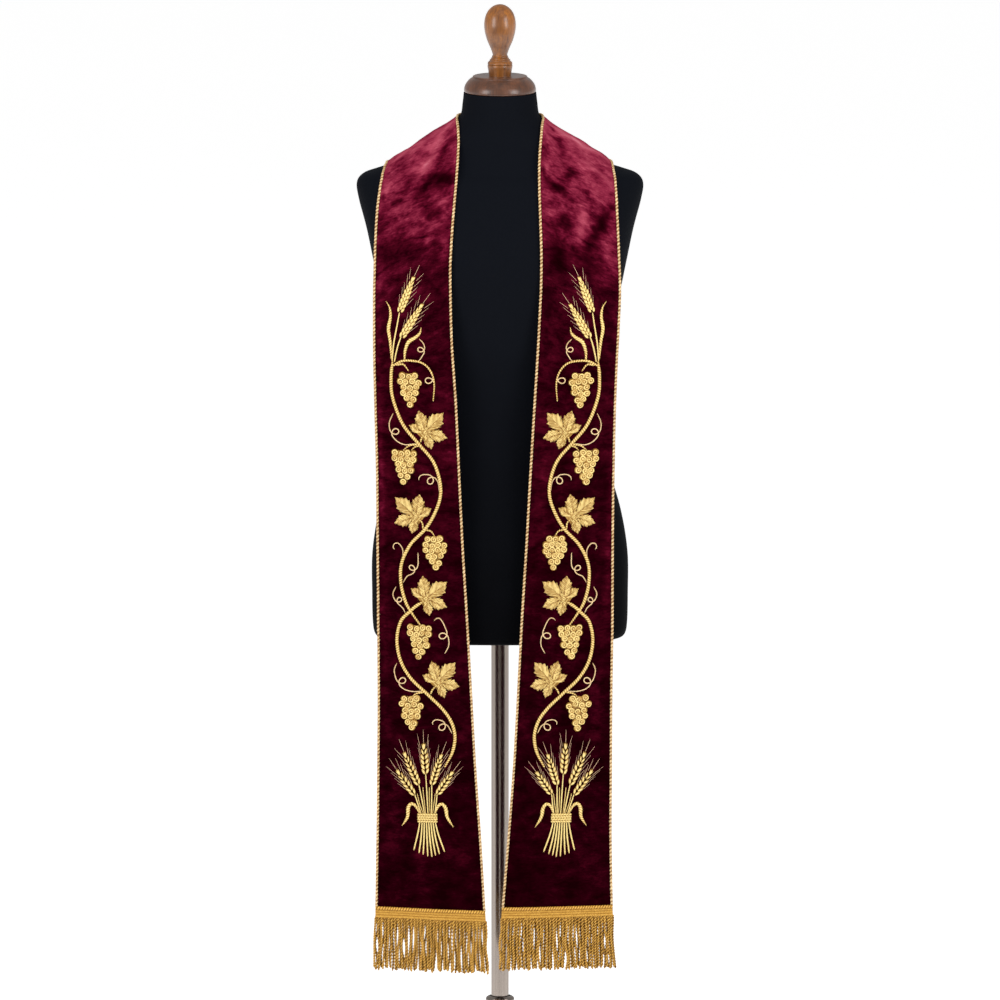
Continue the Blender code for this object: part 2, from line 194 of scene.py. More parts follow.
def arc(centre, radius, start, end, steps=8):
    angles = np.radians(np.linspace(start, end, steps + 1))
    return [(centre[0] + radius * math.cos(a), centre[1] + radius * math.sin(a)) for a in angles]


def tube(outer, inner, low, high):
    return [(outer, low), (outer, high), (inner, high), (inner, low)]


def hexColour(code):
    # sRGB to linear: v / 12.92 near black, and ((v + 0.055) / 1.055) ^ 2.4 above
    value = np.array([int(code[i:i + 2], 16) for i in (1, 3, 5)]) / 255
    linear = np.where(value <= 0.04045, value / 12.92, ((value + 0.055) / 1.055) ** 2.4)
    return (*linear.tolist(), 1.0)


def feed(inputs):
    # a node's output is linked to the input socket, any other value is set on it
    for socket, value in inputs:
        if isinstance(value, bpy.types.NodeSocket):
            socket.id_data.links.new(value, socket)
        else:
            socket.default_value = value


def addNode(tree, kind, *values, give=0, **named):
    # adds a node and gives back one of its outputs. Its inputs come by place, or by Blender's own
    # name with _ for a space. Names that start with a small letter are its settings.
    made = tree.nodes.new("ShaderNode" + kind)
    inputs = list(zip(made.inputs, values))
    for name, value in named.items():
        if name[0].isupper():
            inputs.append((made.inputs[name.replace("_", " ")], value))
        else:
            setattr(made, name, value)
    feed(inputs)
    return made.outputs[give]


def dress(finish, *bumps, **inputs):
    # feeds the finish's shader, with bumps one over another: strength, depth in metres, height
    tree = finish.node_tree
    for strength, depth, height in bumps:
        under = {"Normal": inputs["Normal"]} if "Normal" in inputs else {}
        inputs["Normal"] = addNode(tree, "Bump", Strength=strength, Distance=depth,
                                   Height=height, **under)
    sockets = tree.nodes["Principled BSDF"].inputs
    feed([(sockets[name.replace("_", " ")], value) for name, value in inputs.items()])
    return finish


def startFinish(name, **values):
    finish = bpy.data.materials.new(name)
    finish.use_nodes = True
    return dress(finish, **values), finish.node_tree


def colourRamp(tree, value, *stops):
    colour = addNode(tree, "ValToRGB", value)
    elements = colour.node.color_ramp.elements
    for i, (place, code) in enumerate(stops):
        element = elements[i] if i < 2 else elements.new(place)
        element.position = place
        element.color = hexColour(code)
    return colour


def timesPlus(tree, value, factor, more):
    return addNode(tree, "Math", value, factor, more, operation="MULTIPLY_ADD")


def cutPlace(tree):
    return addNode(tree, "UVMap", uv_map="cut")


def shapeTone(tree):
    return addNode(tree, "Attribute", give="Fac", attribute_name="tone")


def makeVelvet():
    # silk velvet with a crushed nap. The tone attribute runs from dark to rosy. It is partly the
    # nap's own crushed patches and partly painted light and shade: rosy over the shoulders, dark
    # down the hanging part, with painted lit and shaded sides on the creases.
    finish, tree = startFinish("crushedVelvet", Roughness=0.9, Sheen_Weight=0.05,
                               Sheen_Roughness=0.4, Sheen_Tint=hexColour("#a01c40"),
                               Specular_IOR_Level=0.0)
    place, tone = cutPlace(tree), shapeTone(tree)
    # patches of nap are 26 mm across and 15 mm down, the fine creases in them 6 by 2.6 mm
    wide = addNode(tree, "Mapping", Vector=place, Scale=(1 / 26, 1 / 15, 1.0))
    patches = addNode(tree, "TexNoise", Vector=wide, Scale=1.0, Detail=3, Roughness=0.55,
                      Distortion=0.5)
    narrow = addNode(tree, "Mapping", Vector=place, Scale=(1 / 6, 1 / 2.6, 1.0))
    creased = addNode(tree, "TexNoise", Vector=narrow, Scale=1.0, Detail=3, Roughness=0.6,
                      Distortion=0.3)
    # the pattern is strong at middle tones, faint at the darkest and the lightest: each range
    # maps its first two numbers to its last two
    rising = addNode(tree, "MapRange", tone, 0.05, 0.4, 0.3, 1.0)
    falling = addNode(tree, "MapRange", tone, 0.5, 0.8, 1.0, 0.4)
    gain = addNode(tree, "Math", rising, falling, operation="MULTIPLY")
    both = timesPlus(tree, creased, 0.6, patches)
    centred = addNode(tree, "Math", both, 0.8, operation="SUBTRACT")
    colour = colourRamp(tree, timesPlus(tree, centred, gain, tone), (0.0, "#100002"),
                        (1.0, "#a65a67"), (0.1, "#1d0006"), (0.25, "#34030f"), (0.4, "#4e091d"),
                        (0.6, "#6d1d31"), (0.8, "#8c3748"))
    return dress(finish, (0.35, 0.001, patches), (0.4, 0.0005, creased), Base_Color=colour)


def makeVelvetBack():
    # the velvet's woven ground, plain side out: a matt twill
    finish, tree = startFinish("velvetGround", Roughness=0.9, Specular_IOR_Level=0.2)
    twill = addNode(tree, "TexWave", give="Fac", Vector=cutPlace(tree), Scale=0.35,
                    Distortion=0.3, bands_direction="DIAGONAL")
    colour = colourRamp(tree, twill, (0.2, "#2a0612"), (0.9, "#431022"))
    return dress(finish, (0.3, 0.0002, twill), Base_Color=colour)


def makeGold(name, dark, middle, light, roughness, spacing):
    # gilt thread, a metal foil wound on a silk core. Each drawn thread has a painted highlight
    # along its top and falls to amber, painted shade, between the threads. Real threads are 0.4
    # mm; they are drawn at the spacing, in mm, so that they show. The tone attribute is painted
    # light and shade on the shape's own tops and gaps.
    finish, tree = startFinish(name, Roughness=roughness, Metallic=0.2, Specular_IOR_Level=0.3)
    threads = addNode(tree, "TexWave", give="Fac", Vector=cutPlace(tree), Scale=0.314 / spacing,
                      Distortion=0.8, Detail=1)
    where = addNode(tree, "TexCoord", give="Object")
    mottle = addNode(tree, "TexNoise", Vector=where, Scale=330, Detail=3, Roughness=0.6)
    mixed = timesPlus(tree, mottle, 0.5, timesPlus(tree, threads, 0.5, -0.42))
    level = timesPlus(tree, shapeTone(tree), 0.85, mixed)
    colour = colourRamp(tree, level, (0.05, dark), (0.95, light), (0.5, middle))
    return dress(finish, (0.5, 0.0003, threads), Base_Color=colour)


def makeJersey():
    # fine black cotton jersey stretched over the form: matt, with painted shade darker towards the
    # bottom
    finish, tree = startFinish("blackJersey", Roughness=0.85, Specular_IOR_Level=0.04,
                               Sheen_Weight=0.011, Sheen_Roughness=0.4,
                               Sheen_Tint=hexColour("#8f97a8"))
    rows = addNode(tree, "TexWave", give="Fac", Vector=cutPlace(tree), Scale=0.2,
                   Distortion=1.5, Detail=1)
    where = addNode(tree, "TexCoord", give="Object")
    # painted shade by height: lightest at the top, darker down to the bottom
    paintedHeightShade = addNode(tree, "MapRange", addNode(tree, "SeparateXYZ", where, give="Z"), 0.75, 1.25)
    soft = addNode(tree, "TexNoise", Vector=where, Scale=9, Detail=3)
    colour = colourRamp(tree, timesPlus(tree, soft, 0.4, paintedHeightShade), (0.1, "#010102"),
                        (1.0, "#090b10"))
    return dress(finish, (0.12, 0.0002, rows), Base_Color=colour)


def makeTurnedWood(name, dark, middle, light):
    # walnut, turned and lacquered: straight grain up the axis under a thin satin coat
    finish, tree = startFinish(name, Roughness=0.5, Specular_IOR_Level=0.35, Coat_Weight=0.75,
                               Coat_Roughness=0.25)
    stretched = addNode(tree, "Mapping", Vector=addNode(tree, "TexCoord", give="Object"),
                        Scale=(1.0, 1.0, 0.09))
    grain = addNode(tree, "TexNoise", Vector=stretched, Scale=420, Detail=5, Roughness=0.65,
                    Distortion=0.6)
    broad = addNode(tree, "TexNoise", Vector=stretched, Scale=80, Detail=2)
    level = timesPlus(tree, grain, 0.5, timesPlus(tree, broad, 0.5, 0.02))
    colour = colourRamp(tree, level, (0.35, dark), (0.7, light), (0.52, middle))
    return dress(finish, (0.12, 0.0002, grain), Base_Color=colour)


def makeSteel():
    # stainless steel tube, brushed along its length
    finish, tree = startFinish("brushedSteel", Metallic=1.0)
    stretched = addNode(tree, "Mapping", Vector=addNode(tree, "TexCoord", give="Object"),
                        Scale=(1.0, 1.0, 0.01))
    lines = addNode(tree, "TexNoise", Vector=stretched, Scale=500, Detail=3, Roughness=0.5)
    colour = colourRamp(tree, lines, (0.3, "#8a8078"), (0.7, "#9d938b"))
    rough = addNode(tree, "MapRange", lines, 0.3, 0.7, 0.2, 0.26)
    return dress(finish, (0.03, 0.0001, lines), Base_Color=colour, Roughness=rough)


def makeNylon():
    # turned black nylon bush: dull, with faint tool marks round it
    finish, tree = startFinish("blackNylon", Roughness=0.5)
    marks = addNode(tree, "TexWave", give="Fac", Vector=addNode(tree, "TexCoord", give="Object"),
                    Scale=300, Distortion=0.5, bands_direction="Z")
    colour = colourRamp(tree, marks, (0.0, "#0d0d0d"), (1.0, "#171717"))
    return dress(finish, Base_Color=colour)


threadSpacing, trimSpacing = 3.6, 3.8  # mm, between the drawn threads of the goldwork and trims
velvet = makeVelvet()
velvetBack = makeVelvetBack()
goldThread = makeGold("goldwork", "#3e2406", "#9c7230", "#dec680", 0.4, threadSpacing)
fineThread = makeGold("fineGiltThread", "#54281e", "#946a4c", "#c8a484", 0.42, threadSpacing)
goldTrim = makeGold("giltTrim", "#4e2e08", "#966818", "#d0a24a", 0.45, trimSpacing)
goldCord = makeGold("giltCord", "#4c2c12", "#9c7446", "#d6bb8e", 0.45, trimSpacing)
jersey = makeJersey()
finialWood = makeTurnedWood("turnedWalnut", "#45230a", "#70400c", "#945813")
capWood = makeTurnedWood("capWalnut", "#2e180b", "#482713", "#5d351b")
steel = makeSteel()
nylon = makeNylon()
print("finishes made")


stand = {
    "baseRadius": 160, "baseThickness": 8, "baseRounding": 2.5, "hubRadius": 27, "hubTop": 24,
    "hubRounding": 2, "hubFloor": 5, "hubFillet": 1.5, "tubeRadius": 17.5, "tubeWall": 2,
    "collarTop": 219, "collarRadius": 20, "collarHeight": 34, "collarDome": 5.5,
    "collarRounding": 0.8, "collarLip": 4, "mouthRadius": 14.6, "bushLength": 60, "chamfer": 0.4,
    "fitGap": 0.3, "segments": 128}
pole = {"radius": 12.2, "wall": 1.5, "foot": 75, "top": 811}


def makeStand():
    s = stand
    segments = s["segments"]
    bore = s["tubeRadius"] + s["fitGap"]
    size, fillet, hubSize = s["baseRounding"], s["hubFillet"], s["hubRounding"]
    edge = s["baseRadius"] - size
    profile = [(nearAxis, 0)] + arc((edge, size), size, -90, 0)
    profile += arc((edge, s["baseThickness"] - size), size, 0, 90)
    profile += arc((s["hubRadius"] + fillet, s["baseThickness"] + fillet), fillet, -90, -180)
    profile += arc((s["hubRadius"] - hubSize, s["hubTop"] - hubSize), hubSize, 0, 90)
    profile += [(bore + s["chamfer"], s["hubTop"]), (bore, s["hubTop"] - s["chamfer"]),
                (bore, s["hubFloor"]), (nearAxis, s["hubFloor"])]
    buildPiece("stand_base", turnedPart(profile, segments), [steel], "stand",
               ["base"])

    low = s["hubFloor"] + s["fitGap"]
    top = s["collarTop"] - s["collarLip"] - s["fitGap"]
    inner = s["tubeRadius"] - s["tubeWall"]
    profile = tube(s["tubeRadius"], inner, low, top)
    buildPiece("stand_lower_tube", turnedPart(profile, segments, True), [steel], "stand",
               ["stand_tube"])

    low, dome, size = s["collarTop"] - s["collarHeight"], s["collarDome"], s["collarRounding"]
    mouth, lip = s["mouthRadius"], s["collarTop"] - s["collarLip"]
    profile = [(bore, low), (s["collarRadius"] - size, low)]
    profile += arc((s["collarRadius"] - size, low + size), size, -90, 0, 4)
    profile += arc((s["collarRadius"] - dome, s["collarTop"] - dome), dome, 0, 90, 12)
    profile += [(mouth + 0.3, s["collarTop"]), (mouth, s["collarTop"] - s["chamfer"]),
                (mouth, lip), (bore, lip)]
    buildPiece("stand_top_collar", turnedPart(profile, segments, True), [steel], "stand",
               ["stand_collar"])

    profile = tube(inner - s["fitGap"], pole["radius"] + s["fitGap"], top - s["bushLength"], top)
    buildPiece("stand_bush", turnedPart(profile, 96, True), [nylon], "stand",
               ["collar_bush"])
    profile = tube(pole["radius"], pole["radius"] - pole["wall"], pole["foot"], pole["top"])
    buildPiece("form_pole", turnedPart(profile, segments, True), [steel], "form",
               ["pole"])


# radius and height, mm, above the cap's underside and above the finial's foot
neckCap = {
    "foot": 1478, "segments": 96,
    "outline": [
        (48.2, 0.0), (49.1, 0.8), (49.7, 2.8), (49.4, 6.2), (48.0, 10.2), (45.6, 14.0),
        (42.4, 17.6), (39.6, 19.6), (38.3, 20.3), (37.9, 21.2), (37.2, 22.3), (35.8, 22.8),
        (30, 22.9)]}
finial = {
    "foot": 1500, "segments": 64,
    "outline": [
        (15.0, 0.0), (15.3, 3.0), (15.9, 6.0), (16.5, 9.5), (17.1, 12.6), (17.2, 15.2),
        (16.8, 16.2), (16.3, 16.6), (16.8, 17.0), (17.2, 17.7), (16.9, 18.8), (16.0, 20.2),
        (14.9, 21.2), (14.3, 21.6), (14.4, 22.6), (13.6, 23.6), (12.5, 24.0), (12.5, 24.8),
        (12.2, 25.6), (11.2, 26.1), (10.7, 26.6), (11.2, 27.2), (11.2, 28.0), (10.4, 28.7),
        (10.1, 29.6), (10.4, 31.4), (11.4, 34.6), (13.2, 39.4), (15.7, 44.9), (17.9, 50.2),
        (19.6, 55.8), (20.9, 61.3), (21.7, 66.9), (21.95, 71.5), (21.7, 75.8), (20.8, 80.9),
        (19.1, 86.2), (16.7, 90.6), (13.9, 93.9), (10.4, 96.8), (6.4, 98.9), (3.0, 99.8),
        (0.3, 99.95)]}


def makeWood():
    outline = smoothRows(neckCap["outline"], 5) + (0, neckCap["foot"])
    profile = np.vstack([[nearAxis, outline[0, 1]], outline, [nearAxis, outline[-1, 1]]])
    buildPiece("neck_cap_turned", turnedPart(profile, neckCap["segments"]), [capWood], "form",
               ["neck_cap"])
    outline = smoothRows(finial["outline"], 4) + (0, finial["foot"])
    profile = np.vstack([[nearAxis, outline[0, 1]], outline])
    buildPiece("finial_turned", turnedPart(profile, finial["segments"]), [finialWood], "form",
               ["finial"])


makeStand()
makeWood()
print("stand and wood made")


# mm: height, half width, depth to the front, depth to the back, squareness of the outline
form = {
    "bottom": 721, "sides": 160, "steps": 6, "socketRadius": 12.5,
    "socketTop": 811.3,
    "sections": [
        (721, 164, 94, 98, 2.4), (725, 172, 101, 105, 2.4), (740, 175.5, 105, 110, 2.4),
        (780, 176.5, 107, 112, 2.4), (840, 176, 107, 112, 2.4), (900, 166, 103, 103, 2.4),
        (960, 148, 97, 89, 2.4), (1020, 135, 93, 80, 2.4), (1080, 135, 97, 81, 2.4),
        (1140, 148, 108, 89, 2.4), (1200, 165, 119, 96, 2.4), (1242, 174, 123, 100, 2.4),
        (1290, 184, 116, 102, 2.4), (1330, 194.5, 101, 100, 2.35), (1352, 197.5, 89, 94, 2.3),
        (1364, 189.5, 80, 87, 2.25), (1371, 171.5, 73, 79, 2.2), (1380, 144, 67, 72, 2.15),
        (1396, 112, 60, 64, 2.1), (1414, 86, 56, 58, 2.05), (1430, 65, 53, 55, 2),
        (1446, 54.5, 52, 53, 2), (1464, 51.5, 51, 51, 2), (1477.7, 50, 50, 50, 2)]}
formRows = smoothRows(form["sections"], 8)


def formLevel(points):
    # 1 on the form: (|x / half width| ^ n + |y / depth| ^ n) ^ (1 / n), n being the squareness
    x, y, z = np.moveaxis(points, -1, 0)
    width, front, back, n = (np.interp(z, formRows[:, 0], formRows[:, i]) for i in (1, 2, 3, 4))
    depth = np.where(y < 0, front, back)
    return (np.abs(x / width) ** n + np.abs(y / depth) ** n) ** (1 / n)


def clearOfForm(points, gap, passes=4):
    # mm: points nearer to the form than the gap move out along the level's slope
    points = points.copy()
    for _ in range(passes):
        level = formLevel(points)
        slope = np.stack([formLevel(points + step) - formLevel(points - step)
                          for step in np.eye(3) * 0.5], -1)
        size = np.maximum(np.linalg.norm(slope, axis=-1), 1e-6)
        distance = (level - 1) / size
        points += slope / size[..., None] * np.clip(gap - distance, 0, 12)[..., None]
    return points


def makeForm():
    # each ring is x = half width * cos(a) ^ (2 / n), y = depth * sin(a) ^ (2 / n), signs kept
    angles = ringAngles(form["sides"])
    height, width, front, back, n = np.hsplit(smoothRows(form["sections"], form["steps"]), 5)
    depth = np.where(np.sin(angles) < 0, front, back)
    x, y = (size * np.sign(way) * np.abs(way) ** (2 / n)
            for size, way in ((width, np.cos(angles)), (depth, np.sin(angles))))
    side = np.stack([x, y, height.repeat(form["sides"], 1)], -1)
    around = np.stack([np.cos(angles), np.sin(angles), 0 * angles], -1)
    bore, top, bottom = form["socketRadius"], form["socketTop"], form["bottom"]
    socket = [around * radius + (0, 0, level) for radius, level in (
        (nearAxis, top), (bore, top), (bore, bottom + 0.4), (bore + 0.6, bottom))]
    under = [side[0] * (share, share, 1) for share in (0.3, 0.6, 0.85, 0.97)]
    crown = [side[-1] * (share, share, 1) for share in (0.97, 0.6, 0.01)]
    grid = np.stack(socket + under + list(side) + crown)
    knit = np.linspace(0, 1000, form["sides"] + 1)  # mm round the form, for the knit's rows
    uv = np.stack(np.broadcast_arrays(knit[None, :], grid[:, :1, 2]), -1)
    piece = buildPiece("form_torso", gridPart(grid, uv=uv), [jersey], "form",
                       ["torso"])


makeForm()
print("dress form made")


# a row is one line across the cloth, mm: outer x, y, z, inner x, y, z, steps to the next row.
# The last two rows are the braid's edges.
stole = {
    "thickness": 2.5, "clearance": 1.5, "cordRadius": 1.8, "cordLift": 0.6, "gap": 0.3,
    "seamGap": 0.8, "cordSeamGap": 1.2, "crown": 4, "hangTop": 1250, "hangFade": 100,
    "crownFade": 200, "columns": 7, "backRows": 13, "backOuter": (106, -33), "backInner": (58, 2),
    "backFall": 1.5, "fineRows": 440, "fineColumns": 7,
    "left": [
        (-155, 0, 1377, -54, 0, 1442, 3), (-158, -27, 1377, -57, -25, 1435, 3),
        (-163, -55, 1365, -57, -51, 1412, 3), (-168.8, -77, 1331, -59.5, -80, 1371, 3),
        (-171.8, -93, 1275, -64.6, -107, 1315, 3), (-173.2, -103, 1218, -68.2, -121, 1259, 3),
        (-173.6, -107, 1168, -68.2, -123, 1205, 2), (-173.2, -108, 1115, -66, -123, 1136, 2),
        (-171.8, -109, 1058, -61, -123, 1062, 2), (-169.4, -110, 960, -56.3, -123, 960, 2),
        (-168.2, -111, 860, -51.5, -123, 860, 2), (-167.8, -112, 760, -45.5, -123, 760, 2),
        (-167.3, -113, 660, -40, -123, 660, 2), (-167.8, -114, 560, -34.5, -123, 559, 2),
        (-168.8, -116, 460, -27.5, -124, 457, 2), (-170.3, -118, 361.5, -21.5, -125, 356, 2),
        (-170.3, -118, 346, -20.5, -125, 340.5, 2)],
    "right": [
        (151.5, 0, 1377, 55, 0, 1442, 3), (154, -27, 1377, 56.5, -25, 1435, 3),
        (158.2, -55, 1365, 55.5, -51, 1412, 3), (160.8, -77, 1331, 53.6, -80, 1371, 3),
        (163.3, -93, 1275, 55.2, -107, 1315, 3), (165.2, -103, 1218, 57, -121, 1259, 3),
        (163.4, -107, 1168, 55.8, -123, 1205, 2), (160.8, -108, 1115, 52.3, -123, 1136, 2),
        (158.4, -109, 1058, 47.8, -123, 1062, 2), (156.3, -110, 960, 41.8, -123, 960, 2),
        (155.2, -111, 860, 36.3, -123, 860, 2), (154.8, -112, 760, 30.2, -123, 760, 2),
        (153.5, -113, 660, 25, -123, 660, 2), (153, -114, 560, 19.5, -123, 560, 2),
        (152.5, -116, 460, 12, -124, 460, 2), (154, -118, 362.5, 4, -125, 360, 2),
        (154.5, -118, 348, 3, -125, 345, 2)]}
# creases, mm: across and along where they start and end, half width, height. Across is
# from the -X edge, along is from the seam behind the neck.
creases = {
    "left": [
        (0, 166, 96, 160, 28, 3.4), (14, 126, 14, 196, 13, 1.8), (88, 178, 34, 262, 9, -2.6),
        (96, 205, 70, 262, 6, -1.6), (60, 170, 10, 232, 10, 1.8), (96, 232, 78, 320, 7, -1.4),
        (20, 250, 60, 285, 8, -1.2), (30, 420, 34, 760, 16, -1.6), (80, 520, 86, 980, 18, 1.4),
        (110, 900, 118, 1220, 14, -2.0), (48, 930, 52, 1230, 14, 1.6)],
    "right": [
        (14, 160, 110, 166, 28, 3.4), (92, 124, 92, 196, 14, 2.8), (10, 178, 62, 250, 9, -2.6),
        (6, 210, 30, 262, 6, -1.7), (44, 172, 98, 236, 10, 1.9), (12, 240, 34, 330, 7, -1.4),
        (88, 268, 104, 340, 8, -1.6), (70, 420, 66, 800, 16, 1.5), (28, 560, 22, 1000, 18, -1.4),
        (30, 930, 24, 1225, 14, 1.8), (104, 900, 110, 1230, 16, -1.8)]}


def gridNormals(grid):
    return unit(np.cross(np.gradient(grid, axis=0), np.gradient(grid, axis=1)))


def eased(points):
    share = 0.5 * np.clip((points[1:-1, :, 2:] - stole["hangTop"]) / stole["hangFade"], 0, 1)
    softened = points.copy()
    softened[1:-1] += share * ((points[:-2] + points[2:]) / 2 - points[1:-1])
    return softened


def settled(points, gap):
    for _ in range(4):
        points = eased(clearOfForm(points, gap))
    return clearOfForm(points, gap)


def coarseCloth(side):
    # the edges run down the table's rows in front, and behind the neck on quarter ovals
    s = stole
    table = np.array(s[side], float)
    whole = smoothRows(table[:, :6], 6)
    picks = [i * 6 + step for i, keep in enumerate(table[:-1, 6].astype(int))
             for step in range(0, 6, 6 // keep)]
    front = whole[picks + [-1]]
    sign = np.sign(table[0, 0])
    turn = np.linspace(np.pi / 2, 0, s["backRows"], endpoint=False)
    seam = sign * s["seamGap"] / 2
    back = np.column_stack([
        front[0, 0] * np.cos(turn) + seam * np.sin(turn), s["backOuter"][0] * np.sin(turn),
        front[0, 2] + s["backOuter"][1] * np.sin(turn) ** s["backFall"],
        front[0, 3] * np.cos(turn) + seam * np.sin(turn), s["backInner"][0] * np.sin(turn),
        front[0, 5] + s["backInner"][1] * np.sin(turn)])
    lines = np.vstack([back, front]).reshape(-1, 2, 3)
    lines = settled(lines, s["cordRadius"] + s["clearance"])
    lines[0, :, 0] = sign * s["cordSeamGap"] / 2
    lines = lines if sign < 0 else lines[:, ::-1]

    # the cloth spans between the two cord lines, crowned where it hangs free
    normals = gridNormals(lines)
    across = unit(lines[:, 1] - lines[:, 0])[:, None]
    along = unit(np.gradient(lines, axis=0))
    square = np.linalg.norm(np.cross(across, along), axis=2)[..., None]
    inset = across * (s["cordRadius"] + s["gap"]) / square
    first = lines[:, 0] + inset[:, 0] - normals[:, 0] * s["cordLift"]
    last = lines[:, 1] - inset[:, 1] - normals[:, 1] * s["cordLift"]
    share = np.linspace(0, 1, s["columns"] + 1)[None, :, None]
    points = first[:, None] * (1 - share) + last[:, None] * share
    hanging = np.clip((s["hangTop"] - points[..., 2]) / s["crownFade"], 0, 1)
    points[..., 1] -= s["crown"] * hanging * np.sin(np.pi * share[..., 0])
    gap = s["thickness"] / 2 + s["clearance"]
    points[:, 1:-1] = settled(points[:, 1:-1], gap)
    points = clearOfForm(points, gap)
    points[0, :, 0] = sign * s["seamGap"] / 2
    return np.concatenate([lines[:, :1], points, lines[:, 1:]], axis=1)


def creaseHeight(side, across, along):
    # each crease is a ridge or trough: height * exp(-(distance / half width)^2) by a line, faded
    # towards the line's ends by sin; low hills of noise are added over it
    total = np.zeros(np.broadcast(across, along).shape)
    for a0, l0, a1, l1, width, height in creases[side]:
        run = np.array([a1 - a0, l1 - l0], float)
        share = ((across - a0) * run[0] + (along - l0) * run[1]) / (run @ run)
        apart = ((across - a0) * run[1] - (along - l0) * run[0]) / np.sqrt(run @ run)
        fade = np.sin(np.pi * np.clip(share * 0.8 + 0.1, 0, 1))
        bend = width * 0.5 * np.sin(share * 5 + a0)
        total += height * fade * np.exp(-((apart + bend) / width) ** 2)
    seed = 11 if side == "left" else 23
    total += np.clip((along - 330) / 200, 0, 1) * hills(across, along, seed, [(1.1, 46, 150)])
    total += hills(across, along, seed + 1, [(0.55, 22, 34)])
    crushed = np.clip((420 - along) / 160, 0, 1)
    total += crushed * hills(across, along, seed + 2, [(0.42, 13, 8), (0.25, 7, 5.5)])
    return total * np.clip(along / 40, 0, 1)


def makeCloth(side):
    s = stole
    coarse = coarseCloth(side)
    fine, length = evenRows(smoothRows(coarse, 10), s["fineRows"])
    cordLines = fine[:, [0, -1]]
    tuck = 0.75 * s["gap"] + 0.2 * s["cordRadius"]
    edges = fine[:, [1, -2]] + unit(fine[:, [0, -1]] - fine[:, [1, -2]]) * tuck
    inside = np.concatenate([edges[:, :1], fine[:, 2:-2], edges[:, 1:]], axis=1)
    inside = np.moveaxis(smoothRows(np.moveaxis(inside, 1, 0), s["fineColumns"]), 0, 1)
    along = np.linspace(0, length, s["fineRows"])[:, None]
    width = np.linalg.norm(np.diff(inside, axis=1), axis=-1)
    across = np.concatenate([np.zeros((s["fineRows"], 1)), np.cumsum(width, axis=1)], axis=1)
    lift = creaseHeight(side, across, along)
    normals = gridNormals(inside)
    gap = s["thickness"] / 2 + s["clearance"] * 0.7
    inside = clearOfForm(inside + normals * lift[..., None], gap, 2)
    cordNormals = normals[:, [0, -1]]
    cordLines = cordLines + cordNormals * lift[:, [0, -1], None]
    cordLines = clearOfForm(cordLines, s["cordRadius"] + s["clearance"] * 0.7, 2)
    sign = -1 if side == "left" else 1
    inside[0, :, 0] = sign * s["seamGap"] / 2
    cordLines[0, :, 0] = sign * s["cordSeamGap"] / 2
    return {"middle": inside, "normals": gridNormals(inside), "cords": cordLines,
            "cordNormals": cordNormals, "along": along, "across": across, "length": length,
            "step": length / (s["fineRows"] - 1)}


# the fade is painted light and shade, lightest over the shoulders: along, mm, and tone. The
# patches,
# mm: across, along, half width across, half width along, turn in degrees and how much lighter or
# darker; they are partly crushed nap, partly painted highlights and shade of folds and painted
# sheen along the edges
napAndPaintedLight = {
    "fade": [
        (0, 0.5), (120, 0.64), (165, 0.72), (195, 0.62), (240, 0.52), (290, 0.45), (315, 0.37),
        (335, 0.28), (400, 0.17), (450, 0.15), (700, 0.12), (1270, 0.055)],
    "left": [
        (66, 150, 15, 9, -10, -0.2), (76, 186, 36, 8, -39, 0.2), (99, 192, 12, 22, 0, -0.26),
        (62, 218, 14, 8, -20, 0.16), (22, 205, 18, 8, -50, -0.16), (9, 226, 8, 15, 0, 0.14),
        (84, 247, 28, 15, 8, -0.46), (64, 262, 12, 15, 0, -0.26), (104, 262, 8, 16, 0, -0.16),
        (34, 266, 24, 9, 32, 0.02), (6, 280, 8, 34, 0, -0.24), (28, 288, 10, 8, 0, -0.12),
        (86, 297, 15, 8, 22, -0.2), (48, 308, 14, 13, 0, 0.04), (99, 291, 7, 10, 0, 0.12),
        (24, 328, 26, 11, 0, -0.14), (82, 330, 9, 16, 0, 0.14), (102, 352, 7, 22, 0, 0.22),
        (62, 346, 12, 12, 0, -0.1), (6, 420, 5, 90, 0, 0.1), (4, 640, 5, 120, 0, 0.14),
        (100, 600, 12, 70, 0, 0.07), (10, 860, 8, 80, 0, 0.08), (20, 1120, 10, 60, 0, 0.08),
        (60, 1170, 10, 50, 0, 0.1)],
    "right": [
        (15, 170, 15, 4, 30, -0.26), (26, 188, 13, 4, 28, -0.2), (64, 168, 30, 9, 8, 0.32),
        (8, 204, 9, 14, 0, -0.12), (42, 234, 20, 7, -55, -0.28), (22, 258, 22, 11, 28, -0.34),
        (92, 234, 24, 30, 0, 0.14), (68, 206, 22, 16, 0, 0.08), (70, 262, 16, 12, 20, -0.1),
        (28, 308, 15, 7, -48, -0.24), (12, 286, 9, 12, 0, 0.1), (60, 306, 9, 28, 11, 0.28),
        (90, 290, 9, 46, 25, -0.36), (44, 328, 15, 10, 0, 0.14), (106, 300, 6, 20, 0, 0.1),
        (22, 362, 18, 22, 0, -0.16), (99, 342, 11, 26, 0, 0.18), (70, 352, 14, 12, 0, -0.1),
        (112, 520, 5, 120, 0, 0.12), (114, 760, 6, 120, 0, 0.12), (20, 640, 12, 80, 0, 0.06),
        (106, 980, 8, 70, 0, 0.1), (60, 1150, 14, 50, 0, 0.07)]}


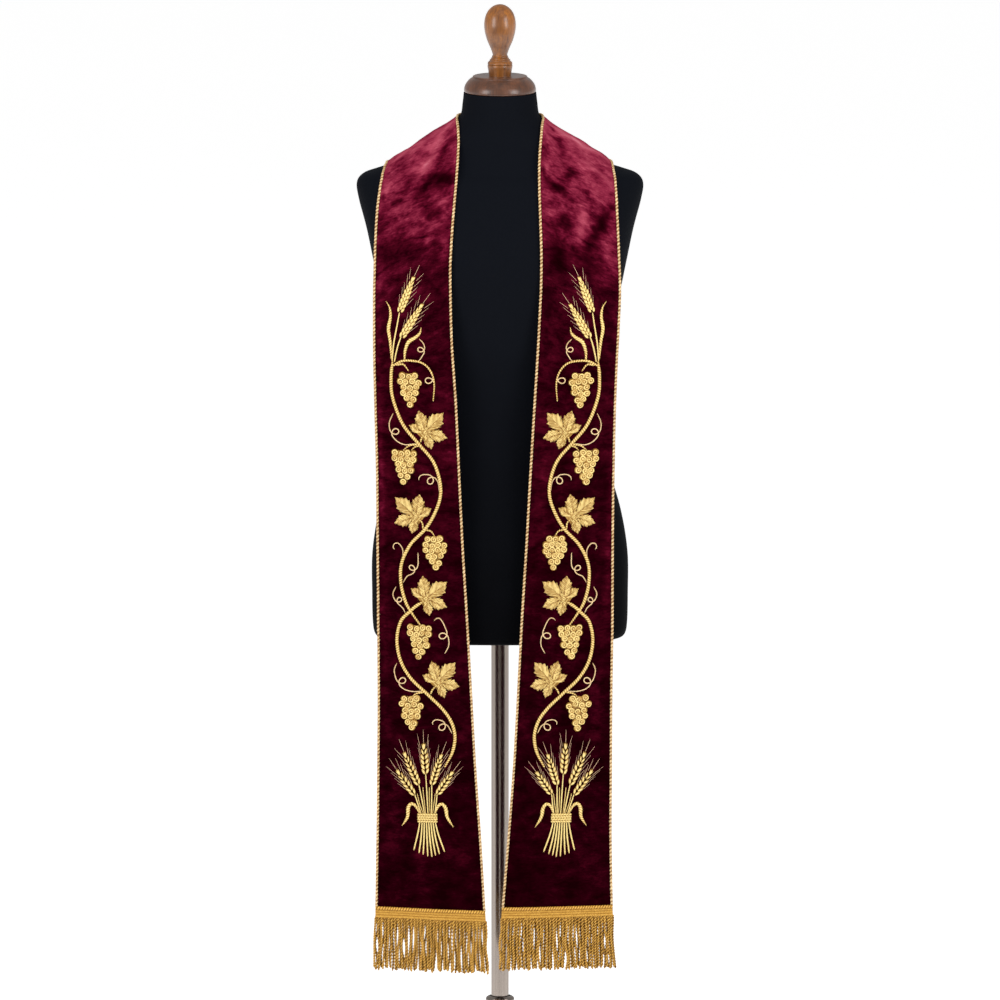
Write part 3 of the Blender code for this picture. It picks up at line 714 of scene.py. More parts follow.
def napAndPaintedLightTone(cloth, side):
    # 0 is dark and 1 rosy, partly from the crushed nap and partly painted light and shade: a fade
    # down the cloth, painted light over the shoulders and painted shade down the hanging part;
    # listed patches of amount * exp(-(u / half width)^2 - (v / half height)^2), u and v turned,
    # partly crushed nap and partly painted fold highlights, fold shade and edge sheen; and hills
    # of noise
    across, along = np.broadcast_arrays(cloth["across"], cloth["along"])
    tone = np.interp(along, *np.array(napAndPaintedLight["fade"]).T)
    for a, l, wide, high, turn, amount in napAndPaintedLight[side]:
        cos, sin = math.cos(math.radians(turn)), math.sin(math.radians(turn))
        u = (across - a) * cos + (along - l) * sin
        v = (along - l) * cos - (across - a) * sin
        tone = tone + amount * np.exp(-(u / wide) ** 2 - (v / high) ** 2)
    noise = hills(across, along, 41 if side == "left" else 57,
                  [(0.5, 30, 26), (0.5, 13, 10), (0.35, 7, 4.5)])
    strength = np.interp(along, [150, 190, 340, 430, 1200], [0.06, 0.12, 0.12, 0.07, 0.06])
    # painted light and shade: each crease gets a painted lit side, where it faces up, and a
    # painted shaded side
    steepness = creaseHeight(side, across, along + 2) - creaseHeight(side, across, along - 2)
    return np.clip(tone + noise * strength + steepness * 0.16, 0, 1)


def makePanel(side, cloth):
    # a closed shell: the pile face, the woven back, and the narrow cut edges between them
    rows, columns = cloth["middle"].shape[:2]
    share = np.linspace(-1, 1, columns)[None, :, None]
    thick = cloth["normals"] * stole["thickness"] / 2 * (1 - 0.5 * share ** 24)
    uv = np.stack(np.broadcast_arrays(cloth["across"], cloth["along"]), -1)
    part = shellPart(cloth["middle"] + thick, cloth["middle"] - thick, uv, napAndPaintedLightTone(cloth, side))
    column = np.tile(np.arange(2 * columns), rows - 1)
    finishOf = np.zeros(len(part["quads"]), int)
    finishOf[:len(column)] = (column >= columns) & (column < 2 * columns - 1)
    return buildPiece(f"velvet_{side}", part, [velvet, velvetBack], "form",
                      [f"panel_{side}"], finishOf=finishOf)


def strandOutline(angles, strands):
    # the outline of equal round strands that touch, as a share of the rope's radius; one strand
    # is a thread that winds round a core, 1 + 0.1 cos(angle)
    if strands < 2:
        return 0.94 + 0.1 * np.cos(angles)
    size = math.sin(math.pi / strands) / (1 + math.sin(math.pi / strands))
    centre = 1 - size
    turn = (angles + math.pi / strands) % (2 * math.pi / strands) - math.pi / strands
    inside = np.clip(size ** 2 - (centre * np.sin(turn)) ** 2, 0, None)
    return np.maximum(centre * np.cos(turn) + np.sqrt(inside), 0.66)


def ropePart(path, normals, radius, pitch, light, phase, strands, sides, ends, grooves, glint):
    # strands wound round a path: the outline turns once for each pitch of length. The tone is a
    # painted highlight on the strands' tops, falling to painted shade in the grooves between them,
    # with painted glints here and there
    tangent = unit(np.gradient(path, axis=0))
    across = unit(np.cross(normals, tangent))
    normals = np.cross(tangent, across)
    along = summed(np.linalg.norm(np.diff(path, axis=0), axis=-1))
    angles = ringAngles(sides)
    outline = strandOutline(angles, strands)
    turned = angles + 2 * np.pi * along[:, None] / pitch + phase
    closing = np.clip(np.minimum(along, along[-1] - along) / (radius * ends), 0, 1)
    reach = outline * radius * (0.35 + 0.65 * np.sqrt(closing))[:, None]
    grid = (path[:, None] + across[:, None] * (np.cos(turned) * reach)[..., None]
            + normals[:, None] * (np.sin(turned) * reach)[..., None])
    # one band of the finish's threads lies along the top of each strand
    bands = trimSpacing * (strands * np.arange(sides + 1) / sides + 0.5)
    uv = np.stack(np.broadcast_arrays(bands, along[:, None] + 9 * phase), -1)
    low = outline.min()
    tone = light * (grooves + (1 - grooves) * (outline - low) / (1 - low))
    shine = 1 + glint * softNoise(along / 2.6 + 40 * phase, along * 0 + phase, 91)
    return gridPart(grid, uv=uv, tone=tone * shine[:, None])


cord = {"radius": 1.85, "pitch": 5.2, "ringsPerTurn": 6, "underBraid": 3, "light": 0.72,
        "rope": {"strands": 1, "sides": 12, "ends": 0.6, "grooves": 0.92, "glint": 0.3}}


def makeCords(side, cloth):
    made = []
    names = ("outer", "inner") if side == "left" else ("inner", "outer")
    last = stole["fineRows"] - 1 + (cord["underBraid"] - braid["height"]) / cloth["step"]
    for column, name in enumerate(names):
        line, normal = cloth["cords"][:, column], cloth["cordNormals"][:, column]
        both = readRows(np.stack([line, line + normal], 1), np.linspace(0, last, 700))
        both, length = evenRows(both, 700)
        both, length = evenRows(both, int(length / cord["pitch"] * cord["ringsPerTurn"]))
        both[-1] -= (both[-1] - both[-2]) * 0.4
        part = ropePart(both[:, 0], unit(both[:, 1] - both[:, 0]), cord["radius"], cord["pitch"],
                        cord["light"], column, **cord["rope"])
        made.append(buildPiece(f"edge_cord_{name}_{side}", part, [goldCord], "form",
                               [f"cord_{name}_{side}"]))
    return made


braid = {"height": 15.5, "reach": 2.7, "lobe": 3.6, "acrossStep": 0.5,
         "downSteps": 44, "widths": (1.25, 0.85, 0.85, 1.05), "beads": (0.55, 0.35, 0.35, 0.42)}
fringe = {
    "length": 75.5, "spacing": 2.2, "radius": 2.1, "pitch": 8.6, "ringsPerTurn": 9, "depth": 1.25,
    "sway": 2.4, "uneven": 5.0, "layers": (1.5, -1.5, 1.1, -1.2),
    # painted shade: the strands of the back layers, at the negative depths, get the lower lights
    "lights": (1.08, 0.68, 1.0, 0.77),
    "rope": {"strands": 2, "sides": 8, "ends": 1.2, "grooves": 0.42, "glint": 0.4}}


def hemLines(cloth, share, spacing):
    # lines across the hem, carried past both cords, with their points at equal distances; share
    # is 0 at the braid's top, 1 at its foot
    at = stole["fineRows"] - 1 - (1 - share) * braid["height"] / cloth["step"]
    line, normal = readRows(cloth["middle"], at), unit(readRows(cloth["normals"], at))
    first = line[:, :1] + unit(line[:, :1] - line[:, 1:2]) * braid["reach"]
    last = line[:, -1:] + unit(line[:, -1:] - line[:, -2:-1]) * braid["reach"]
    line = np.concatenate([first, line, last], 1)
    normal = np.concatenate([normal[:, :1], normal, normal[:, -1:]], 1)
    steps = np.linalg.norm(np.diff(line, axis=1), axis=-1)
    width, along = steps[0].sum(), summed(steps.mean(axis=0))
    across = np.linspace(0, along[-1], int(width / spacing))
    line, normal = (readRows(rows.swapaxes(0, 1), across, along).swapaxes(0, 1)
                    for rows in (line, normal))
    return line, unit(normal), across, width


def makeBraid(side, cloth):
    # rows of gimp side by side: each is a half round whose lobes slant the other way from its
    # neighbours', height = sqrt(1 - w^2) * (1 + 0.35 sin(2 pi (across / lobe +- w / 3)))
    b = braid
    down = np.linspace(0, 1, b["downSteps"])
    line, normal, across, width = hemLines(cloth, down, b["acrossStep"])
    edges = summed(b["widths"]) / sum(b["widths"])
    row = np.searchsorted(edges, down, side="right").clip(1, len(b["widths"])) - 1
    w = (2 * (down - edges[row]) / (edges[row + 1] - edges[row]) - 1)[:, None]
    dome = np.clip(1 - w ** 2, 0, 1)
    slant = np.where(row % 2 == 0, 0.34, -0.34)[:, None]
    phase = (across / b["lobe"] + slant * w + row[:, None] * 0.37
             + 0.25 * softNoise(across / 9, across * 0, 31))
    beads, big = (np.array(b[key])[row][:, None] for key in ("beads", "widths"))
    lobes = np.sin(2 * np.pi * phase) * beads
    height = 0.5 + 1.1 * big * np.sqrt(dome) * (1 + 0.35 * lobes)
    base = stole["thickness"] / 2 + stole["gap"]
    # the threads' bands follow the big beads, and are left out between them
    places = trimSpacing * np.where(beads > 0.5, phase + 0.25, 0.29)
    uv = np.stack(np.broadcast_arrays(places, down[:, None] * b["height"]), -1)
    # painted light and shade: lightest on the beads' tops, painted shade at each row's edges and
    # between the beads
    tops = dome ** 0.6 * (0.74 + 0.26 * lobes) * (0.72 + 0.26 * big)
    part = shellPart(line + normal * (base + height[..., None]), line + normal * base, uv,
                     0.22 + 0.62 * np.clip(tops, 0, 1))
    return buildPiece(f"hem_braid_{side}", part, [goldTrim], "form",
                      [f"braid_{side}"])


def makeFringe(side, cloth):
    # two-ply bullion strands, each hung from the hem with its own length, depth and sway
    f = fringe
    line, normal, across, width = hemLines(cloth, np.array([1.0]), f["spacing"])
    random = np.random.default_rng(5 if side == "left" else 8)
    share = np.linspace(0, 1, 24)
    aside = across - across.mean()
    inset = np.clip((width / 2 - abs(aside)) / 10, 0, 1)
    sway = f["sway"] * softNoise(across / 9, across * 0 + 0.3, 71)
    parts = []
    for i, (top, out) in enumerate(zip(line[0] + normal[0] * f["depth"], normal[0])):
        layer = f["layers"][i % 4] + random.uniform(-0.3, 0.3)
        length = f["length"] - random.uniform(0, f["uneven"])
        drift = (sway[i] + random.uniform(-1.5, 1.5)) * (0.3 + 0.7 * inset[i])
        drift += 4.5 * aside[i] / width
        wave = random.uniform(-1.9, 1.9) * np.sin(np.pi * share * random.uniform(1.2, 3.2))
        x = top[0] + drift * share ** 1.4 + wave * np.minimum(share * 3, 1)
        depth = layer * np.minimum(share * 6, 1) + random.uniform(-0.4, 0.4) * share
        path = np.stack([x, top[1] + out[1] * depth, top[2] + 1.5 - length * share], 1)
        path, _ = evenRows(path, int(length / f["pitch"] * f["ringsPerTurn"]))
        light = f["lights"][i % 4] * random.uniform(0.86, 1.08)
        radius = f["radius"] * random.uniform(0.9, 1.08)
        pitch = f["pitch"] * random.uniform(0.78, 1.25)
        facing = np.broadcast_to([0.0, -1.0, 0.0], path.shape)
        parts.append(ropePart(path, facing, radius, pitch, light, random.uniform(0, 6.3),
                              **f["rope"]))
    return buildPiece(f"bullion_fringe_{side}", joined(parts), [goldTrim], "form",
                      [f"fringe_{side}"])


# Vine, grapes and wheat, the common ornament of altar cloths. Places are mm across from the
# band's centre line, towards the stole's opening, and mm above the floor.

vine = {
    "height": 2.4, "tendrilWidth": 1.9, "tendrilHeight": 1.5,
    "stems": [
        (4.7, [(-28.5, 1120), (-31.7, 1097), (-31, 1069), (-18.5, 1033), (2, 1006), (21, 982),
            (29.6, 955), (29.6, 931), (20, 906), (7, 886), (-13, 865), (-26, 839), (-28, 812),
            (-23, 787), (-15, 771), (-3, 753)]),
        (4.7, [(2, 786), (-8, 780), (-17, 772), (-30, 758), (-36, 732), (-32, 704), (-19, 680),
            (3, 658), (23, 638), (35, 620), (40, 599), (36, 577), (25, 556)]),
        (3.4, [(-30, 1112), (-16, 1119.5), (-2, 1120.5), (11, 1118), (20, 1111), (25.5, 1100),
            (27, 1086), (24.5, 1065)]),
        (3.0, [(-24, 1114), (-14, 1115), (-7, 1106)]),
        (3.0, [(2, 1005), (-10, 1003), (-19, 996)]),
        (2.6, [(8, 886), (16, 884), (21, 876)]),
        (3.0, [(2, 661), (-12, 658), (-18, 652)]),
        (2.6, [(5, 1008), (7, 1014), (12, 1021)]),
        (2.6, [(5, 887), (4, 896), (-3, 902)]),
        (2.6, [(8, 658), (11, 664), (17, 670)]),
        (2.6, [(4, 1003), (-3, 1001), (-8, 996)])],
    # a tendril's points, then where along it the curl is (0 to 1), its radius and its side
    "tendrils": [
        ([(-31, 1047), (-37, 1033), (-35, 1019), (-28, 1009), (-17, 1004), (-6, 1005), (2, 1006)],
            0.4, 5.8, 1),
        ([(29, 938), (27, 953), (20, 961), (9, 963), (2, 960), (1, 955)], 0.5, 6.0, 1),
        ([(-24, 846), (-24, 858), (-29, 866), (-35, 866), (-37, 861), (-35, 858)], 0, 0, 1),
        ([(-25, 812), (-19, 821), (-11, 825), (-4, 835), (-3, 846), (-3, 854)], 0.5, 4.9, 1),
        ([(-35, 806), (-39.5, 796), (-36, 786), (-27, 777), (-23.5, 770)], 0.55, 4.4, 1),
        ([(16, 760), (22, 764), (28, 757), (34, 740), (35, 726), (29, 714)], 0.55, 6.0, -1),
        ([(-37, 700), (-41, 690), (-38, 676), (-30, 665), (-16, 661), (0, 662)], 0.42, 5.8, 1),
        ([(36, 603), (31, 613), (24, 620), (15, 622), (10, 619), (10, 615)], 0.4, 6.0, 1),
        ([(9, 1151), (15, 1144), (16, 1134), (11, 1125), (7, 1120)], 0.5, 4.8, -1),
        ([(22, 1108), (26.5, 1095), (26.5, 1080)], 0.5, 5.8, -1)]}
# rows of grapes from the top: how many, and how far the row is pushed across, mm
grapes = {
    "radius": 5.3, "pitch": 8.5, "rowDrop": 8.1, "rings": 8, "sides": 12,
    "rows": [
        [(3, 0), (4, 0), (3, 0.5), (3, 0), (2, 0), (1, 0)],
        [(4, 0.5), (4, 0), (3, -0.5), (3, 0.6), (2, -1), (1, -2)],
        [(3, -0.5), (4, 0.4), (4, 0), (3, 0), (2, 0.5), (1, 1)]],
    "bunches": [
        (-7, 1100, 0.98, 0), (-18, 993, 1.0, 1), (20, 874, 0.98, 2), (-5, 750, 0.98, 1),
        (-19.5, 651, 1.0, 0)],
    # share of the radius, rise in mm, tone; the tone is painted light and shade, high where the
    # coil rises, low in its groove and at its rim
    "coil": [
        (0.05, 2.6, 0.95), (0.2, 2.4, 0.8), (0.33, 2.0, 0.36), (0.47, 2.3, 0.72),
        (0.61, 2.6, 1.02), (0.76, 2.2, 0.9), (0.89, 1.3, 0.4), (1.0, 0.1, 0.0)]}
# a lobe: its direction in degrees and its length; its half width along it, as shares of its length
leaves = {
    "lobes": [(0, 1.0), (58, 0.84), (108, 0.65), (-118, 0.65), (-61, 0.82)],
    "outline": [
        (0.42, 0.23), (0.5, 0.275), (0.6, 0.315), (0.7, 0.28), (0.8, 0.19), (0.9, 0.085),
        (1.0, 0.0)],
    "teeth": 4, "toothDepth": 0.36, "steps": 25, "rings": 22, "height": 2.0, "stitch": 3.3,
    "veins": 7.6,
    "places": [
        (12, 1021, 38, 47, 1), (-4.5, 904, 38.5, 137, -1), (5.7, 790.5, 38, 38, 1),
        (19, 674.5, 36.5, 48, 1)]}
# an ear: its foot, its tip, its width, the lean of its awns on the -X and +X sides, and whether
# its kernels are round and three abreast
wheat = {
    "ears": [
        (-17.3, 1187, 2.8, 1237, 11.5, 0.3, 0.42, True),
        (-15.3, 1152, 14.8, 1200, 11.5, 0.34, 0.38, True),
        (-1.5, 546, -3.5, 590, 10.6, 0.2, 0.2, False), (-11.5, 531, -31, 577, 10, 0.3, 0.2, False),
        (-17.5, 517, -42, 552, 9.6, 0.28, 0.26, False),
        (6.5, 531, 21.5, 575, 10, 0.22, 0.3, False),
        (13.5, 518, 36.5, 550.5, 9.6, 0.26, 0.26, False)],
    "stalks": [
        [(-29.5, 1118), (-26.3, 1143), (-21.2, 1168), (-17.5, 1187)],
        [(-26.3, 1118), (-23.5, 1130), (-19.8, 1143), (-15.5, 1154)]],
    "blades": [
        (5.2, [(-30, 1122), (-31, 1146), (-33, 1164), (-30, 1180), (-31, 1193), (-36, 1202)]),
        (5.6, [(-12, 1121), (-11, 1133), (-6, 1146), (4, 1153), (10, 1159), (12, 1167)])],
    "ribbons": [
        (5.6, [(-11, 491), (-17, 502), (-23, 504.5), (-27, 498.5), (-28.5, 486), (-36.5, 473.5)]),
        (5.6, [(9, 491), (14.5, 502), (20, 504.5), (24.5, 498.5), (26.5, 486), (34.5, 472)])],
    "tie": (-15, 13, 479, 491.5),
    "shortStraws": [(-6, -14, 519), (-3, -6, 528), (3, 3, 528), (6, 11, 520)],
    "feet": [
        (-21, 440), (-13.8, 436), (-8.2, 434), (-1.8, 431.5), (4, 431), (9, 433), (14.4, 435),
        (21.5, 438)]}


def sweptPart(path, width, height, shape, columns=8, spacing=1.0, stitch=threadSpacing, slant=0.8,
              lift=0.0, light=1.0, fall=0.7, ends=0.3):
    # a raised line of stitches in (across, height, lift): half round on top and flat below, its
    # width along the path read from the shape's (share, size) pairs. The stitches cross it at a
    # slant. The tone is a painted highlight along its top, falling to painted shade at its edges
    # and, by ends, where it narrows.
    path = np.asarray(path, float)
    curve = smoothRows(path, 10) if len(path) > 2 else path
    length = np.linalg.norm(np.diff(curve, axis=0), axis=-1).sum()
    line, length = evenRows(curve, max(int(length / spacing), 5))
    along = np.linspace(0, length, len(line))
    tangent = unit(np.gradient(line, axis=0))
    side = np.stack([-tangent[:, 1], tangent[:, 0]], -1)
    size = np.interp(along / length, *np.array(shape, float).T)[:, None]
    angles = (np.arange(columns) + 0.5) * 2 * np.pi / columns
    rise = np.sin(angles) * size
    rise = np.where(rise < 0, rise * 0.35, rise) * height
    aside = (np.cos(angles) * size * width / 2)[..., None]
    grid = np.concatenate([line[:, None] - side[:, None] * aside, (lift + rise)[..., None]], -1)
    around = np.arange(columns + 1) / columns * 2 * width
    places = (0.3 + (along[:, None] + slant * around) / stitch) * threadSpacing
    uv = np.stack(np.broadcast_arrays(places, around[None, :]), -1)
    # painted light and shade: fall sets how fast the top's painted highlight falls to the edges'
    # painted shade, and ends darkens where the line narrows
    tone = light * (0.15 + 0.85 * np.clip(np.sin(angles), 0, 1) ** fall)
    return gridPart(grid, uv=uv, flip=True, tone=tone * (1 - ends + ends * size))


stemShape = [(0, 0.4), (0.03, 1), (0.9, 1), (1, 0.5)]
twigShape = [(0, 0.6), (0.08, 1), (0.5, 0.85), (1, 0.5)]
tendrilShape = [(0, 0.5), (0.05, 0.95), (0.5, 1), (0.95, 0.8), (1, 0.4)]
bladeShape = [(0, 0.45), (0.25, 0.75), (0.55, 1), (0.8, 0.7), (1, 0.12)]
grainShape = [(0, 0.35), (0.15, 0.8), (0.4, 1), (0.7, 0.85), (0.9, 0.45), (1, 0.12)]
roundGrain = [(0, 0.4), (0.15, 0.85), (0.45, 1), (0.75, 0.9), (1, 0.35)]
awnShape = [(0, 1), (0.7, 0.9), (1, 0.35)]
tieShape = [(0, 0.55), (0.04, 1), (0.96, 1), (1, 0.55)]
# ears, round or slim: the distance between pairs of kernels, mm, the kernels' length as a share of
# it, their foot, lean and width, and the awns' number, reach, mm, and highest place
ears = {
    True: {"shape": roundGrain, "spacing": 7.0, "grain": 1.12, "foot": 0.2, "lean": 0.3,
           "width": 0.4, "awns": 5, "reach": 15, "lastAwn": 0.9},
    False: {"shape": grainShape, "spacing": 6.8, "grain": 1.28, "foot": 0.12, "lean": 0.52,
            "width": 0.44, "awns": 4, "reach": 19, "lastAwn": 0.85}}
# a long stitch leaves no lines across: straw and tendrils are couched thread, laid along the line
straw = {"shape": tendrilShape, "columns": 6, "spacing": 1.8, "stitch": 300}
tendril = {**straw, "spacing": 1.2, "light": 0.83}
awn = {"shape": awnShape, "columns": 6, "spacing": 4, "stitch": 20, "light": 1.6, "ends": 0}


def curled(path, share, radius, hand):
    # the path with a loop in it: while the point moves on by 1.5 radii it also goes once round,
    # point + radius (side (1 - cos a) + ahead sin a), a from 0 to 2 pi
    if not radius:
        return path
    steps = 80
    line, length = evenRows(smoothRows(path, 10), steps + 1)
    turn = np.linspace(0, 2 * np.pi, 15)
    at = (share + (turn / (2 * np.pi) - 0.5) * 1.5 * radius / length) * steps
    first, last = int(at[0]), int(at[-1]) + 1
    ahead = unit(line[last] - line[first])
    side = np.array([-ahead[1], ahead[0]]) * hand
    around = side * (1 - np.cos(turn))[:, None] + ahead * np.sin(turn)[:, None]
    loop = readRows(line, at) + radius * around
    return np.vstack([line[:first - 2:6], loop, line[last + 3::6], line[-1:]])


def grapePart(across, height, radius, turn, light):
    # a coil of thread wound flat: the rise and the tone over the share of the radius are a table
    g = grapes
    share = np.linspace(1, 0.05, g["rings"])
    angles = ringAngles(g["sides"]) + turn
    places, *columns = np.array(g["coil"]).T
    # painted light and shade: the tone follows the coil's rise, and its rim is dark
    rise, tone = (np.interp(share, places, column) for column in columns)
    share, rise, tone = (np.concatenate([[edge], rows])[:, None]
                         for edge, rows in ((1.0, share), (-0.4, rise), (0.05, tone)))
    grid = np.stack([across + radius * share * np.cos(angles),
                     height + radius * share * np.sin(angles), rise.repeat(g["sides"], 1)], -1)
    # one turn of the pattern round the coil, so that it winds in as a spiral
    around = np.arange(g["sides"] + 1) / g["sides"] * threadSpacing
    uv = np.stack(np.broadcast_arrays(around + 1.2 * share * radius, around), -1)
    return gridPart(grid, uv=uv, tone=tone * light)


def bunchParts(across, top, size, kind, random):
    g = grapes
    rows = g["rows"][kind]
    widest = max(count for count, push in rows)
    shape = [(0, 0.7)] + [((row + 0.5) / len(rows), count / widest)
                          for row, (count, push) in enumerate(rows)] + [(1, 0.15)]
    foot = top - (len(rows) - 0.7) * g["rowDrop"] * size
    # an amber pad lies under the whole bunch
    parts = [sweptPart([(across, foot), (across, top + 3)], widest * g["pitch"] * size * 0.84, 0.9,
                       [(1 - share, wide) for share, wide in shape[::-1]], 10, 1.5, light=0.42)]
    for row, (count, push) in enumerate(rows):
        for i in range(count):
            x = across + push + (i - (count - 1) / 2) * g["pitch"] * size
            x += random.uniform(-0.6, 0.6)
            y = top - row * g["rowDrop"] * size + random.uniform(-0.7, 0.7) - 1.5 * (i % 2)
            parts.append(grapePart(x, y, g["radius"] * size * random.uniform(0.92, 1.06),
                                   random.uniform(0, 6), random.uniform(0.85, 1.05)))
    return parts


def leafPart(across, height, size, turnDegrees, handed):
    # five lobes from one point. A lobe's edge is at (t, w(t)) along and beside its vein, in shares
    # of its length, w from the table and cut by saw teeth; the face runs in to the stalk's end.
    # It is padded, grooved along each vein, and ribbed by stitches that slant back to the vein.
    l = leaves
    t = np.linspace(l["outline"][0][0], 1, l["steps"])
    wide = np.interp(t, *np.array(l["outline"]).T)
    saw = ((t - t[0]) / (1 - t[0]) * l["teeth"]) % 1
    cutIn = 1 - l["toothDepth"] * np.where(t < 0.97, 1 - saw, 0) * (t > t[1])
    edges = []
    for turn, length in l["lobes"]:
        for hand, order in ((-1, slice(None)), (1, slice(None, None, -1))):
            edges.append(np.stack([t * length, wide * length * hand, cutIn,
                                   np.full(len(t), np.radians(turn)),
                                   np.full(len(t), length)], 1)[order])
    along, beside, cutIn, axis, length = np.vstack(edges).T
    # the lobes' own sheets, from the outline (share 1) in to the stalk's end. The teeth are cut
    # in the outer fifth only, so that the face doesn't fold.
    share = np.linspace(1, 0.03, l["rings"])[:, None]
    beside = beside * (cutIn.mean() + (cutIn - cutIn.mean()) * np.clip(share * 5 - 4, 0, 1))
    onVein, offVein = along * size * share, beside * size * share
    length = length * size
    chevron = onVein - 0.9 * np.abs(offVein)
    inside = 1 - share ** 4
    groove = np.exp(-(offVein / 1.1) ** 2) * np.clip(1.1 - onVein / length, 0, 1)
    groove = groove * np.clip(onVein / length * 6, 0, 1)
    ribs = np.cos(2 * np.pi * chevron / l["stitch"])
    rise = l["height"] * inside ** 0.6 * (1 - 0.6 * groove)
    rise += 0.18 * ribs * np.clip(inside * 4, 0, 1)
    # side veins branch from the middle one, a dark line each
    branch = (chevron / l["veins"]) % 1 - 0.5
    veins = np.exp(-(branch * l["veins"] / 0.9) ** 2) * np.clip(np.abs(offVein) / 2, 0, 1)
    veins = veins * np.clip(onVein / length * 3 - 0.5, 0, 1)
    seam = np.exp(-((along * size - l["outline"][0][0] * length) / (0.09 * length)) ** 2)
    rise = rise * (1 - 0.5 * seam * (share > 0.25))
    # painted light: one side of each vein lighter, the other darker
    lit = 0.1 * np.sign(offVein) * np.clip(np.abs(offVein) / 1.5, 0, 1)
    # the stitches lie in short dashes, lighter and darker
    dashes = softNoise(chevron / 1.7 + axis * 9, np.abs(offVein) / 3.6 + 5 * np.sign(offVein), 77)
    # painted light and shade: painted shade in each vein's groove, in the seam's dip and towards
    # the outline, and a faint painted highlight on the ribs
    tone = (0.78 + 0.05 * ribs - 0.5 * groove - 0.3 * veins - 0.26 * seam * share
            - 0.16 * share ** 10 + lit + 0.38 * dashes)
    turn = math.radians(turnDegrees)
    x = onVein * np.cos(axis) - offVein * np.sin(axis)
    y = (onVein * np.sin(axis) + offVein * np.cos(axis)) * handed
    grid = np.stack([across + x * math.cos(turn) - y * math.sin(turn),
                     height + x * math.sin(turn) + y * math.cos(turn), np.maximum(rise, 0.15)], -1)
    # the flat back runs in to the same small ring as the face
    back = grid[[-1, 0]].copy()
    back[..., 2] = -0.4
    grid = np.concatenate([back, grid])
    tone = np.concatenate([tone[[-1, 0]], tone])
    uv = np.stack([chevron * 1.5, np.abs(offVein)], -1)
    uv = np.concatenate([uv[[-1, 0]], uv])
    uv = np.concatenate([uv, uv[:, :1]], axis=1)
    return gridPart(grid, uv=uv, flip=handed < 0, tone=np.clip(tone, 0.05, 1))


def earParts(baseA, baseH, tipA, tipH, width, leanLeft, leanRight, roundKernels, random):
    # pairs of kernels lean out from the axis in a V, with awns from their tips. In a round ear the
    # kernels are short, and a third one lies over the middle of each pair.
    e = ears[roundKernels]
    base, tip = np.array([baseA, baseH], float), np.array([tipA, tipH], float)
    length = np.linalg.norm(tip - base)
    axis = (tip - base) / length
    side = np.array([axis[1], -axis[0]])
    pairs = round(length / e["spacing"])
    grain = length / pairs * e["grain"]
    kernel = {"shape": e["shape"], "stitch": 20}
    parts, awns = [], []
    for i in range(pairs):
        at = base + axis * (length - grain * 1.1) * i / (pairs - 1)
        narrow = np.interp(i / (pairs - 1), [0, 0.25, 0.6, 1], [0.85, 1, 0.9, 0.38])
        for hand in (-1, 1):
            foot = at + side * hand * width * e["foot"] * narrow
            foot = foot + axis * (0.9 if hand > 0 else 0)
            lean = unit(axis + side * hand * e["lean"] * narrow)
            parts.append(sweptPart([foot, foot + lean * grain], width * e["width"] * narrow, 2.0,
                                   **kernel, lift=0.3, light=random.uniform(0.8, 1.0), fall=1.6,
                                   ends=0.7))
        if roundKernels and i < pairs - 1:
            foot = at + axis * grain * 0.5
            parts.append(sweptPart([foot, foot + axis * grain], width * 0.36 * narrow, 2.6,
                                   **kernel, lift=0.8, light=random.uniform(0.88, 1.08),
                                   fall=1.7, ends=0.85))
    end = base + axis * (length - grain * 0.8)
    parts.append(sweptPart([end - axis * 2, tip], width * 0.34, 2.6, grainShape, stitch=20,
                           lift=0.4, light=0.95, fall=1.2, ends=0.7))
    for share in np.linspace(0.2, e["lastAwn"], e["awns"]):
        for hand, lean in ((-1, leanLeft), (1, leanRight)):
            start = base + axis * (share * length + hand) + side * hand * width * 0.42
            out = unit(axis + side * hand * (lean + random.uniform(-0.05, 0.05)))
            end = start + out * (e["reach"] + random.uniform(-2, 2))
            awns.append(sweptPart([start, end], 0.56, 0.5, **awn))
    awns.append(sweptPart([tip - axis * 2, tip + axis * 18 + side], 0.7, 0.6, **awn))
    return parts, awns


def sheafParts():
    # straws from their feet to the waist, from the waist to the ears, short ones between them,
    # and four laid threads that make the tie
    w = wheat
    left, right, low, high = w["tie"]
    middle = (len(w["feet"]) - 1) / 2
    parts = []
    for i, (footA, footH) in enumerate(w["feet"]):
        waist = (i - middle) * 2.9 + (left + right) / 2
        path = [(footA, footH), (waist + (footA - waist) * 0.36, footH + 24), (waist, low + 3)]
        parts.append(sweptPart(path, 2.5, 1.7, **straw))
    for i, (topA, topH) in enumerate(sorted(ear[:2] for ear in w["ears"][2:])):
        waist = (i - 2) * 4.6
        path = [(waist, high - 2), (waist * 0.6 + topA * 0.45, (high + topH) / 2),
                (topA, topH + 1)]
        parts.append(sweptPart(path, 2.0, 1.5, **straw))
    for waist, topA, topH in w["shortStraws"]:
        path = [(waist, high - 2), (topA * 0.8, (high + topH) / 2), (topA, topH)]
        parts.append(sweptPart(path, 1.5, 1.1, **straw, light=0.75))
    for k in range(4):
        y = low + (high - low) * (k + 0.5) / 4
        parts.append(sweptPart([(left, y), (right, y)], 3.7, 3.0, tieShape, spacing=1.2,
                               slant=1.2 if k % 2 else -1.2, lift=0.5))
    return parts


